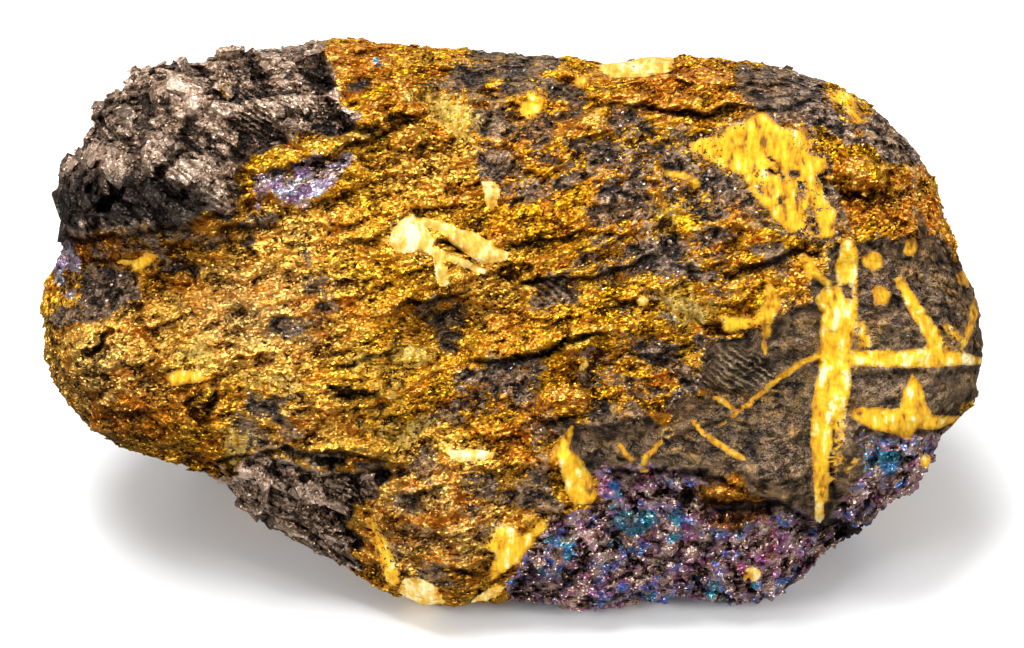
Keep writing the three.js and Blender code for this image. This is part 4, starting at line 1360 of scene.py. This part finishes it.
def ore_patterns(bench):
    """Everything that more than one mineral's colour is made of."""
    pattern = SimpleNamespace()
    place = bench.add("ShaderNodeTexCoord", output="Object")
    pattern.mm = bench.scaled(place, 1 / MM)
    pattern.mottle = noise(bench, pattern.mm, MOTTLE_MM, 0.75)
    pattern.wobble = (pattern.mottle - 0.5) * 5.0
    to_grain = Matrix((grain_axes @ face_axes).tolist())
    turned = bench.add("ShaderNodeMapping", {"vector_type": "TEXTURE"}, {
        "Vector": pattern.mm, "Rotation": to_grain.transposed().to_euler()})
    along, across, out = bench.add("ShaderNodeSeparateXYZ", None, {0: turned}, output=None)
    slab = bench.attribute("slab")
    short_grained = bench.attribute("tarnish").most(bench.attribute("sulphide")).most(slab).rise(-0.1, 0.1)
    drawn_out = along * (0.45 + 0.4 * short_grained)
    long_grain = bench.add("ShaderNodeCombineXYZ", None, {0: drawn_out, 1: across, 2: out})
    pattern.grain = bench.scaled(long_grain, 1 + slab * 0.6)
    pattern.crumple, pattern.lots = facets(bench, pattern.grain, FACET_MM, FACET_TILT)
    pattern.patchy = noise(bench, pattern.grain, PATCH_MM, 0.7)
    pattern.grains = blocks_of_colour(bench, pattern)
    pattern.sheet = (pattern.patchy * CREASES_PER_PATCH).maths("FRACT")
    pattern.crease = 1 - pattern.sheet.rise(0.0, 0.18)
    pattern.crest = bench.attribute("crest")
    turn = RIB_TURN - GRAIN_RISE
    over_ribs = across * math.cos(turn) - along * math.sin(turn) + pattern.patchy * RIB_BEND_MM
    ribbed = bench.attribute("ribbed").rise(0.25, 0.6)
    pattern.ribs = ((over_ribs / RIB_MM).maths("PINGPONG", 1.0) - 0.5) * ribbed
    speckle = (pattern.lots[0] - 0.5) * (0.26 + slab * 0.12) + (pattern.grains[0] - 0.5) * 0.15
    # Crests are painted lighter and creases darker, as painted light and shade, and on ribbed breaks the
    # ribs are lighter and darker in turn, also painted light and shade.
    tone = pattern.mottle * 0.6 + 0.2 + pattern.crest * 0.22 + speckle
    pattern.tone = tone - pattern.crease * 0.08 + pattern.ribs * 0.34
    return pattern

print("mottling of", MOTTLE_MM, "mm, patches of", PATCH_MM, "mm and a rib every", 2 * RIB_MM, "mm")

# %% [markdown]
# Each mineral is one short function that returns its colour. Gold is the main one: brass yellow,
# paler where it broke last, coppery where it has stained, and painted nearly black in its crevices
# as painted shade. One brass colour would look like paint, so its brightness follows random patches
# and each facet's chance, with painted light on the crests and painted shade in the creases and on
# the sides that look down, which are also painted more coppery. Its brightest places get a painted
# highlight.

# %% Gold
BRASS = (0.88, 0.455, 0.013)
PALE_BRASS = (0.97, 0.67, 0.25)
COPPER = (0.62, 0.21, 0.012)
DARK_AND_SHADED_GOLD = (0.05, 0.014, 0.003)
PAINTED_HIGHLIGHT = (0.97, 0.74, 0.20)

def gold_colour(bench, pattern):
    lee = bench.attribute("lee")
    pale = bench.attribute("pale")
    fine = (pattern.lots[0] - 0.5) * 0.36 + (pattern.mottle - 0.5) * 0.3 + (pattern.grains[0] - 0.5) * 0.12
    # Brightness from random patches and facets, with painted light on crests and painted shade in creases
    # and on faces that look down, which are also painted more coppery.
    glow = pattern.patchy + pattern.crest * 0.22 + fine - pattern.crease * 0.28 - lee * 0.1
    stained = (pattern.patchy - 0.48) * 3.6 + (pattern.grains[1] - 0.5) * 0.7 + lee * 0.25
    coppery = (bench.attribute("orange") + stained).most(edge(bench, pattern, "stain", 0.7, 0.3))
    tint = bench.mix(bench.mix(BRASS, PALE_BRASS, pale * 0.8), COPPER, coppery)
    lit = bench.mix(DARK_AND_SHADED_GOLD, tint, (glow + pale * 0.05).rise(0.16, 0.62))
    # The brightest places get a painted highlight.
    return bench.mix(lit, PAINTED_HIGHLIGHT, glow.rise(0.60, 0.90) * 0.5)

print("gold from", BRASS, "to", COPPER)

# %% [markdown]
# The dull matrix is brown on the smooth slab at the right and sooty, with bright grains, where it is
# mixed with the gold. The sulphide of the knob is a brown grey metal. A ramp turns each one's tone
# into a colour, from its crevices to its brightest grains; the tone is painted darker in crevices and
# lighter on crests, as painted shade and light, and parts of the slab that face away from the lamps
# are painted lighter, as painted light.

# %% Matrix and sulphide
BROWN = [(0.30, (0.008, 0.005, 0.003)), (0.42, (0.056, 0.033, 0.017)),
         (0.58, (0.155, 0.094, 0.045)), (0.80, (0.34, 0.22, 0.115))]
RUSTY = [(0.30, (0.016, 0.006, 0.002)), (0.43, (0.13, 0.052, 0.012)),
         (0.58, (0.38, 0.170, 0.030)), (0.80, (0.70, 0.42, 0.13))]
SOOTY = [(0.33, (0.006, 0.004, 0.003)), (0.44, (0.050, 0.030, 0.022)),
         (0.58, (0.20, 0.122, 0.082)), (0.74, (0.58, 0.41, 0.30))]
SULPHIDE = [(0.28, (0.008, 0.005, 0.003)), (0.41, (0.12, 0.073, 0.046)),
            (0.57, (0.38, 0.245, 0.158)), (0.78, (0.80, 0.60, 0.46))]
MOSSY = (0.13, 0.088, 0.022)
SANDY = (0.36, 0.22, 0.12)
PAINTED_LIGHT_ON_SLAB = (0.24, 0.165, 0.085)
WARM_GLINT = (0.62, 0.43, 0.32)
COOL_GLINT = (0.38, 0.42, 0.54)
RIB_DARK = (0.020, 0.014, 0.009)
RIB_LIGHT = (0.34, 0.25, 0.14)

def matrix_colour(bench, pattern):
    """Its colour, and how much of a metal glint each place has."""
    slab = bench.attribute("slab")
    pale = bench.attribute("pale")
    # On the slab, pale spots lift the tone: painted light where it turns away from the lamps.
    tone = pattern.tone + slab * (pale * 0.15 - 0.01) + (pattern.patchy - 0.5) * slab * 0.45
    rust = bench.attribute("orange") * 0.8 + (pattern.patchy - 0.52) * 3.6 + (pattern.grains[0] - 0.5) * 0.5
    dull = bench.mix(bench.ramp(tone, BROWN), MOSSY, pattern.patchy.rise(0.44, 0.56) * slab * 0.48)
    dull = bench.mix(dull, SANDY, (pattern.grains[2] - 0.72).rise(0.0, 0.1) * slab * 0.35)
    # The slab's pale spots are lightened towards this colour: painted light.
    dull = bench.mix(dull, PAINTED_LIGHT_ON_SLAB, pale * slab * 0.4)
    dull = bench.mix(dull, bench.ramp(tone, SOOTY), bench.attribute("sooty"))
    dull = bench.mix(dull, bench.ramp(tone, RUSTY), rust.clip() * 0.8)
    glint = pattern.lots[2].rise(0.84, 0.9) * (1 - slab * 0.6)
    flash = bench.mix(WARM_GLINT, COOL_GLINT, pattern.lots[0].rise(0.80, 0.9))
    return bench.mix(dull, flash, glint * 0.7), glint

def rib_colour(bench, pattern):
    # The ribs are lighter and darker in turn: painted light and shade along them.
    return bench.mix(RIB_DARK, RIB_LIGHT, (pattern.ribs + pattern.tone - 0.5).rise(0.0, 0.5))

def sulphide_colour(bench, pattern):
    tone = pattern.tone + (pattern.lots[2] - 0.5) * 0.12 + (pattern.patchy - 0.5) * 0.5
    return bench.ramp(tone, SULPHIDE)

print("two dull matrices and one dark metal, each from", len(BROWN), "colours")

# %% [markdown]
# Tarnish is a thin film, and its thickness sets its colour, grain by grain. So each facet draws its
# own tint from a ramp that runs from copper through magenta and violet to blue, and whole areas lean
# to one end or the other.

# %% Tarnish
BARE = [(0.32, (0.010, 0.006, 0.005)), (0.42, (0.27, 0.150, 0.110)),
        (0.55, (0.66, 0.44, 0.34)), (0.76, (0.80, 0.62, 0.54))]
FILM = [(0.08, (0.60, 0.28, 0.06)), (0.24, (0.62, 0.30, 0.20)), (0.34, (0.76, 0.20, 0.44)),
        (0.44, (0.55, 0.22, 0.56)), (0.56, (0.56, 0.42, 0.34)), (0.68, (0.26, 0.22, 0.72)),
        (0.80, (0.10, 0.30, 0.66)), (0.92, (0.12, 0.54, 0.62))]
TEAL = [(0.12, (0.02, 0.10, 0.16)), (0.30, (0.04, 0.36, 0.44)), (0.44, (0.20, 0.12, 0.34)),
        (0.58, (0.10, 0.55, 0.60)), (0.74, (0.50, 0.74, 0.72))]
LILAC = [(0.10, (0.22, 0.10, 0.20)), (0.34, (0.58, 0.42, 0.60)), (0.50, (0.66, 0.56, 0.66)),
         (0.62, (0.22, 0.46, 0.54)), (0.75, (0.90, 0.78, 0.84))]

def tarnish_colour(bench, pattern, teal_share, lilac_share):
    blue = bench.attribute("blue")
    magenta = bench.attribute("magenta")
    mixed = pattern.grains[0] * 0.55 + pattern.lots[0] * 0.3
    film = mixed * 0.5 + (pattern.patchy - 0.5) * 1.5 + 0.32 + blue * 0.28 - magenta * 0.12
    tints = bench.mix(bench.ramp(film, FILM), bench.ramp(mixed, TEAL), teal_share)
    tints = bench.mix(tints, bench.ramp(mixed, LILAC), lilac_share)
    crowd = teal_share * 0.5 + lilac_share * 0.16 + (blue + magenta) * 0.2 + (pattern.patchy - 0.5) * 0.7
    # Crests show their tint a little more: a painted highlight.
    draw = pattern.grains[1] * 0.75 + pattern.lots[1] * 0.25 + pattern.mottle * 0.5 + pattern.crest * 0.15
    return bench.mix(bench.ramp(pattern.tone, BARE), tints, (draw + crowd).rise(0.78, 1.12))

print("tarnish of", len(FILM), "tints, from copper to blue")

# %% [markdown]
# Calcite, quartz and the olive skins are stone. They were stained yellow by iron, more in some
# streaks than in others, and calcite has a dirty rim. One streaky noise serves all three, each with
# a ramp of its own.

# %% Stone
CALCITE = [(0.32, (0.20, 0.08, 0.003)), (0.40, (0.56, 0.25, 0.003)), (0.50, (0.80, 0.40, 0.002)),
           (0.63, (0.87, 0.56, 0.02)), (0.74, (0.93, 0.83, 0.46))]
OLIVE = [(0.34, (0.12, 0.062, 0.006)), (0.50, (0.50, 0.31, 0.035)), (0.68, (0.82, 0.61, 0.18))]
QUARTZ = [(0.36, (0.56, 0.25, 0.010)), (0.54, (0.80, 0.50, 0.08)), (0.70, (0.88, 0.77, 0.46))]
DIRTY_RIM = (0.36, 0.13, 0.006)
STREAK_MM = 0.9

def stone_colours(bench, pattern):
    """Colours of calcite, olive skins and quartz."""
    drawn_down = bench.vector("MULTIPLY", pattern.mm, (1.0, 0.4, 0.4))
    streak = noise(bench, drawn_down, STREAK_MM, 0.65)
    # Crests are a little lighter: painted light.
    streak = streak + pattern.crest * 0.06 + bench.attribute("pale") * 0.15
    calcite, olive, quartz = (bench.ramp(streak, stops) for stops in (CALCITE, OLIVE, QUARTZ))
    rim = 1 - (bench.attribute("calcite") + pattern.wobble * 0.14).rise(0.0, 0.45)
    return bench.mix(calcite, DIRTY_RIM, rim * 0.65), olive, quartz

print("calcite, olive and quartz from", len(CALCITE) + len(OLIVE) + len(QUARTZ), "colours")

# %% [markdown]
# The minerals are then laid over one another, from the one that fills the rest, gold, to the ones
# that cut across everything, the veins. Each layer mixes colour, metal and roughness by its share.

# %% The ore's material
PAINTED_SHADE_COLOUR = (0.004, 0.003, 0.003)

class Layers:
    """What has been laid so far."""

    def __init__(self, bench, colour, metallic, roughness):
        self.bench = bench
        self.colour = colour
        self.metallic = metallic
        self.roughness = roughness

    def lay(self, colour, share, metallic, roughness):
        self.colour = self.bench.mix(self.colour, colour, share)
        self.metallic = self.number(self.metallic, metallic, share)
        self.roughness = self.number(self.roughness, roughness, share)

    def number(self, below, above, share):
        return self.bench.add("ShaderNodeMix", {"data_type": "FLOAT"}, {0: share, 2: below, 3: above})

def ore_material():
    material, bench = new_material("ore")
    pattern = ore_patterns(bench)
    value = bench.attribute
    gold = gold_colour(bench, pattern)
    layers = Layers(bench, gold, metallic=0.95, roughness=pattern.lots[1] * 0.24 + 0.33)

    dull, glint = matrix_colour(bench, pattern)
    speckling = pattern.wobble * (0.35 + 0.8 * value("speckled"))
    in_matrix = (value("matrix") + speckling).rise(-0.1, 0.1)
    in_ribs = value("ribbed").rise(0.35, 0.5) * value("slab") * 0.7
    in_sulphide = edge(bench, pattern, "sulphide", 0.4, 0.12)
    layers.lay(dull, in_matrix, metallic=0.3 + 0.5 * glint, roughness=0.58 - 0.25 * glint)
    layers.lay(rib_colour(bench, pattern), in_ribs, metallic=0.6, roughness=0.38)
    layers.lay(sulphide_colour(bench, pattern), in_sulphide, metallic=0.6, roughness=0.40)

    in_teal = edge(bench, pattern, "teal", 0.25, 0.15)
    in_lilac = edge(bench, pattern, "lilac", 0.4, 0.15)
    in_tarnish = edge(bench, pattern, "tarnish", 0.4, 0.15).most(in_teal).most(in_lilac)
    tarnish = tarnish_colour(bench, pattern, in_teal, in_lilac)
    layers.lay(tarnish, in_tarnish, metallic=0.8, roughness=0.32)
    layers.lay(gold, edge(bench, pattern, "stain", 0.7, 0.3) * 0.85, metallic=0.85, roughness=0.35)

    calcite, olive, quartz = stone_colours(bench, pattern)
    in_olive = edge(bench, pattern, "olive", 1.7, 0.2) * 0.72
    pitted = value("calcite") + pattern.wobble * (0.09 + 1.0 * value("pocked"))
    in_quartz = edge(bench, pattern, "quartz", 0.09, 0.06)
    layers.lay(olive, in_olive, metallic=0.1, roughness=0.4)
    layers.lay(calcite, pitted.rise(-0.05, 0.05), metallic=0.0, roughness=0.6)
    layers.lay(quartz, in_quartz, metallic=0.0, roughness=0.32)

    stony = value("calcite").most(value("quartz")).rise(-0.1, 0.1)
    # The shade number darkens the colour: painted shade, less on the stone.
    colour = bench.mix(layers.colour, PAINTED_SHADE_COLOUR, value("shade") * (0.94 - 0.7 * stony))
    height = pattern.crumple + pattern.sheet * CREASE_DEPTH + pattern.ribs * RIB_DEPTH
    bumped = bench.add("ShaderNodeBump", None, {
        "Strength": 1.0, "Distance": MM, "Height": height * (1 - stony * 0.8)}, output="Normal")
    surface = bench.add("ShaderNodeBsdfPrincipled", None, {
        "Base Color": colour, "Metallic": layers.metallic, "Roughness": layers.roughness,
        "Normal": bumped, "Specular IOR Level": 0.3})
    bench.add("ShaderNodeOutputMaterial", None, {"Surface": surface}, output=None)
    return material

ore_finish = ore_material()
ore_mesh.materials.append(ore_finish)
print("the ore's material has", len(ore_finish.node_tree.nodes), "nodes")

# %% [markdown]
# ## Flakes, blocks and crystals that stand on the surface
#
# A carved mesh is one skin, so nothing on it can overhang or throw a sharp small shadow. On the real
# lump, flakes of gold lie on each other like leaves, the dark sulphide breaks into little blocks,
# and the tarnish sits on crystals a millimetre across. Each is a shape of a dozen faces, repeated
# thousands of times over one mineral, so Geometry Nodes scatter them: the nodes drop points on the
# skin, let the mineral's depth decide how many, and stand a shape on each point.

# %% A few shapes to repeat
def shape_object(name, points, faces):
    mesh = bpy.data.meshes.new(name)
    mesh.from_pydata([tuple(point) for point in points], [], faces)
    mesh.update()
    return bpy.data.objects.new(name, mesh)

def folded_flake(name, seed):
    """A thin leaf with four corners and a fold across it, one unit long."""
    random = np.random.default_rng(seed)
    outline = np.array([(-0.5, -0.1), (0.0, -0.28), (0.5, 0.05), (-0.05, 0.3)])
    outline += random.uniform(-0.09, 0.09, outline.shape)
    fold = random.uniform(-0.10, 0.16, 4)
    top = np.column_stack([outline, fold + 0.05])
    bottom = np.column_stack([outline * 1.04, fold - 0.05])
    points = np.vstack([top, bottom])
    sides = [(k, 4 + k, 4 + (k + 1) % 4, (k + 1) % 4) for k in range(4)]
    corners = [(0, 1, 3), (1, 2, 3), (7, 5, 4), (7, 6, 5)]
    faces = corners + [half for a, b, c, d in sides for half in ((a, b, c), (a, c, d))]
    return shape_object(name, points, faces)

def hull_object(name, points):
    """The convex solid round some points."""
    work = bmesh.new()
    for point in points:
        work.verts.new(point)
    hull = bmesh.ops.convex_hull(work, input=work.verts)
    bmesh.ops.delete(work, geom=hull["geom_interior"], context="VERTS")
    bmesh.ops.recalc_face_normals(work, faces=work.faces)
    mesh = bpy.data.meshes.new(name)
    work.to_mesh(mesh)
    work.free()
    return bpy.data.objects.new(name, mesh)

def cleaved_block(name, seed):
    """A brick that lost a little of each corner."""
    random = np.random.default_rng(seed)
    corners = np.array(list(itertools.product((-0.5, 0.5), repeat=3)))
    corners *= (1.0, random.uniform(0.35, 0.6), random.uniform(0.16, 0.3))
    return hull_object(name, corners + random.uniform(-0.13, 0.13, corners.shape) * (1, 0.8, 0.7))

def stubby_crystal(name, seed):
    random = np.random.default_rng(seed)
    places = random.normal(size=(9, 3))
    places /= np.linalg.norm(places, axis=1)[:, None]
    return hull_object(name, places * (0.5, 0.42, 0.4))

def shape_collection(name, maker, count, seed):
    group = bpy.data.collections.new(name)
    for number in range(count):
        group.objects.link(maker(f"{name}_{number}", seed + number))
    return group

flake_shapes = shape_collection("flake_shapes", folded_flake, 6, 301)
block_shapes = shape_collection("block_shapes", cleaved_block, 6, 311)
crystal_shapes = shape_collection("crystal_shapes", stubby_crystal, 5, 321)
for group in (flake_shapes, block_shapes, crystal_shapes):
    print(group.name, "have", [len(shape.data.polygons) for shape in group.objects], "faces")

# %% The tree that scatters them
SCATTER_INPUTS = {
    "Skin": "Geometry", "Shapes": "Collection", "Finish": "Material", "Mineral": "String",
    "Per square metre": "Float", "Least size": "Float", "Most size": "Float", "Along": "Vector",
    "Lean": "Float", "Spin": "Float", "Sink": "Float", "Seed": "Int",
}
BARE_FOOT = (1.2 * MM, 2.5 * MM)  # nothing stands below the first height, and all of it above the second
NUMBERS = {"FLOAT": 1, "INT": 2}  # which output of a random value node holds which kind

def scatter_tree():
    tree = bpy.data.node_groups.new("scatter_on_skin", "GeometryNodeTree")
    for name, kind in SCATTER_INPUTS.items():
        tree.interface.new_socket(name, in_out="INPUT", socket_type="NodeSocket" + kind)
    tree.interface.new_socket("Scattered", in_out="OUTPUT", socket_type="NodeSocketGeometry")
    bench = Bench(tree)
    given = dict(zip(SCATTER_INPUTS, bench.add("NodeGroupInput", output=None)))
    mineral = {"Name": given["Mineral"]}
    wanted = bench.add("GeometryNodeInputNamedAttribute", None, mineral, output="Attribute")
    place = bench.add("GeometryNodeInputPosition")
    height = bench.add("ShaderNodeSeparateXYZ", None, {0: place}, output="Z")
    density = given["Per square metre"] * (wanted.clip() * height.rise(*BARE_FOOT))
    points, _, turn = bench.add("GeometryNodeDistributePointsOnFaces", None, {
        "Mesh": given["Skin"], "Density": density, "Seed": given["Seed"]}, output=None)
    along_grain = bench.add("FunctionNodeAlignRotationToVector", {"axis": "X", "pivot_axis": "Z"}, {
        "Rotation": turn, "Vector": given["Along"]})

    def chance(low, high, offset, kind="FLOAT"):
        inputs = {"Min": low, "Max": high, "Seed": given["Seed"] + offset}
        return bench.add("FunctionNodeRandomValue", {"data_type": kind}, inputs, NUMBERS[kind])

    tilts = bench.add("ShaderNodeCombineXYZ", None, {
        0: chance(-1.0, 1.0, 1) * given["Lean"], 1: chance(-1.0, 1.0, 2) * given["Lean"],
        2: chance(-1.0, 1.0, 3) * given["Spin"]})
    tilt = bench.add("FunctionNodeEulerToRotation", None, {0: tilts})
    tilted_turn = bench.add("FunctionNodeRotateRotation", {"rotation_space": "LOCAL"}, {
        "Rotation": along_grain, "Rotate By": tilt})
    growth = (given["Most size"] - given["Least size"]) * chance(0.0, 1.0, 4) * chance(0.0, 1.0, 5)
    shapes = bench.add("GeometryNodeCollectionInfo", None, {
        "Collection": given["Shapes"], "Separate Children": True, "Reset Children": True})
    standing = bench.add("GeometryNodeInstanceOnPoints", None, {
        "Points": points, "Instance": shapes, "Pick Instance": True,
        "Instance Index": chance(0, 11, 6, "INT"),  # counts on from the first shape again after the last
        "Rotation": tilted_turn, "Scale": given["Least size"] + growth})
    down = bench.add("ShaderNodeCombineXYZ", None, {2: -given["Sink"]})
    sunk = bench.add("GeometryNodeTranslateInstances", None, {
        "Instances": standing, "Translation": down, "Local Space": True})
    real = bench.add("GeometryNodeRealizeInstances", None, {0: sunk})
    finished = bench.add("GeometryNodeSetMaterial", None, {"Geometry": real, "Material": given["Finish"]})
    bench.add("NodeGroupOutput", None, {0: finished}, output=None)
    return tree

scatter = scatter_tree()
print("the scatter tree has", len(scatter.nodes), "nodes")

# %% Scatter over one mineral
def scattered(name, shapes, mineral, along, seed, measures):
    """A plain mesh object of everything the tree makes on the ore's skin."""
    settings = {"Shapes": shapes, "Mineral": mineral, "Along": along, "Seed": seed, **measures}
    settings["Finish"] = ore_finish
    skin = into_scene(name + "_skin", ore_mesh)
    nodes = skin.modifiers.new("scatter", "NODES")
    nodes.node_group = scatter
    for item in scatter.interface.items_tree:
        if item.in_out == "INPUT" and item.name in settings:
            nodes[item.identifier] = settings[item.name]
    mesh = as_modified(skin)
    mesh.name = name
    piece = into_scene(name, mesh)
    mesh.calc_loop_triangles()
    print(name, "has", len(mesh.loop_triangles), "triangles")
    return piece

with_grain = tuple(grain_axes[0] @ face_axes)
with_knob = tuple(np.array([math.cos(KNOB_TURN), math.sin(KNOB_TURN), 0]) @ face_axes)
flakes = scattered("gold_flakes", flake_shapes, "flaky", with_grain, 401, {
    "Per square metre": 1.35e6, "Least size": 0.45 * MM, "Most size": 1.6 * MM,
    "Lean": 0.24, "Spin": 0.45, "Sink": 0.02 * MM})
blocks = scattered("sulphide_blocks", block_shapes, "blocky", with_knob, 411, {
    "Per square metre": 0.8e6, "Least size": 0.6 * MM, "Most size": 3.0 * MM,
    "Lean": 0.15, "Spin": 0.4, "Sink": 0.17 * MM})
crystals = scattered("tarnished_crystals", crystal_shapes, "grainy", with_grain, 421, {
    "Per square metre": 1.1e6, "Least size": 0.5 * MM, "Most size": 2.2 * MM,
    "Lean": 0.8, "Spin": 3.1, "Sink": 0.25 * MM})

# %% A flat map for the scattered shapes
def store_map(mesh, places):
    layer = mesh.uv_layers.new(name="OFBake")
    layer.uv.foreach_set("vector", places.astype(np.float32).ravel())

def map_by_shape(piece, faces_per_shape):
    """A flat map that gives every face of every shape a place of its own, two faces to a square."""
    squares = 3  # in each direction, in the part of the map that one shape gets
    lower = np.array([(0.06, 0.06), (0.84, 0.06), (0.06, 0.84)])
    halves = np.stack([lower, 1 - lower])
    shape, face = np.divmod(np.arange(len(piece.data.polygons)), faces_per_shape)
    across = math.ceil(math.sqrt(shape[-1] + 1))  # shapes to a row of the map
    square, half = np.divmod(face, 2)
    corner = np.stack([shape % across, shape // across], axis=1)
    corner = corner * squares + np.stack([square % squares, square // squares], axis=1)
    places = (corner[:, None, :] + halves[half]) / (squares * across)
    store_map(piece.data, places)
    print(piece.name, "has", int(shape[-1]) + 1, "shapes on its map")

for piece, shapes in ((flakes, flake_shapes), (blocks, block_shapes), (crystals, crystal_shapes)):
    map_by_shape(piece, len(shapes.objects[0].data.polygons))

# %% [markdown]
# ## A flat map of the ore
#
# Whoever takes the lump over gets its minerals painted onto one square sheet, and a map tells every
# face its place on the sheet. Cut by its own angles, so rough a skin would fall into thousands of
# scraps. So the lump is unwrapped like a parcel: each face goes with the side of a box that it looks
# to, and each side's faces are pressed flat as one sheet. The broad face gets more room than the
# others, because it is the one that gets looked at.

# %% Boxes on shelves
def on_shelves(sizes, width):
    """Lower left corners of boxes set on shelves, the tallest first, and the height they fill."""
    corners = np.zeros((len(sizes), 2))
    across = up = tallest = 0.0
    for number in np.argsort(-sizes[:, 1], kind="stable"):
        if across + sizes[number, 0] > width:
            up += tallest
            across = tallest = 0.0
        corners[number] = across, up
        across += sizes[number, 0]
        tallest = max(tallest, sizes[number, 1])
    return corners, up + tallest

test_boxes = np.array([[2.0, 1.0], [1.0, 1.0], [1.0, 2.0]])
print("three boxes on shelves 3 wide are", on_shelves(test_boxes, 3)[1], "high")

# %% Lay the skin out flat
SIDES = np.array([
    [[0, 1, 0], [0, 0, 1]], [[1, 0, 0], [0, 0, -1]], [[1, 0, 0], [0, 1, 0]],
    [[0, 0, 1], [0, 1, 0]], [[1, 0, 0], [0, 0, 1]], [[-1, 0, 0], [0, 1, 0]],
])  # the two directions across each side of the box, first the sides that look along +u, +v and +w
BROAD = 2  # the broad face's number among them
BROAD_SCALE = 1.25
MAP_GAP_MM = 1.0

def sheets_of(side, quads):
    """A number for each face that is the same all over one joined part of a side."""
    joins = read_whole(ore_mesh.loops, "edge_index")
    first, second = (np.argsort(joins, kind="stable") // 4).reshape(-1, 2).T
    alike = side[first] == side[second]
    first, second = first[alike], second[alike]
    sheet = np.arange(len(quads))
    while True:
        least = np.minimum(sheet[first], sheet[second])
        spread = sheet.copy()
        np.minimum.at(spread, first, least)
        np.minimum.at(spread, second, least)
        spread = spread[spread]
        if (spread == sheet).all():
            return np.unique(sheet, return_inverse=True)[1]
        sheet = spread

def lay_out_flat():
    quads = corner_points.reshape(-1, 4)
    looks = relaxed(blank_normals, 60)[quads].mean(axis=1) @ face_axes.T
    side = np.concatenate([looks, -looks], axis=1).argmax(axis=1)
    flat = np.einsum("fij,fcj->fci", SIDES[side], blank_uvw[quads])
    flat[side == BROAD] *= BROAD_SCALE
    sheet = sheets_of(side, quads)
    low = np.full((sheet.max() + 1, 2), np.inf)
    high = -low
    np.minimum.at(low, sheet, flat.min(axis=1))
    np.maximum.at(high, sheet, flat.max(axis=1))
    sizes = high - low + MAP_GAP_MM
    widths = np.linspace(sizes[:, 0].max(), 3 * sizes[:, 0].max(), 120)
    heights = [on_shelves(sizes, width)[1] for width in widths]
    square = np.maximum(widths, heights).min()
    width = widths[np.maximum(widths, heights).argmin()]
    corners = on_shelves(sizes, width)[0] + MAP_GAP_MM / 2
    places = (flat - low[sheet][:, None] + corners[sheet][:, None]) / square
    store_map(ore_mesh, places)
    print("the map has", len(sizes), "sheets and is", square.round(1), "mm wide")

lay_out_flat()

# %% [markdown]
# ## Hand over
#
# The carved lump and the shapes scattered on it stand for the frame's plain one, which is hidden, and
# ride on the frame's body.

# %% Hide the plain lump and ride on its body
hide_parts("ore_lump")
for piece in (ore, flakes, blocks, crystals):
    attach(piece, "root")
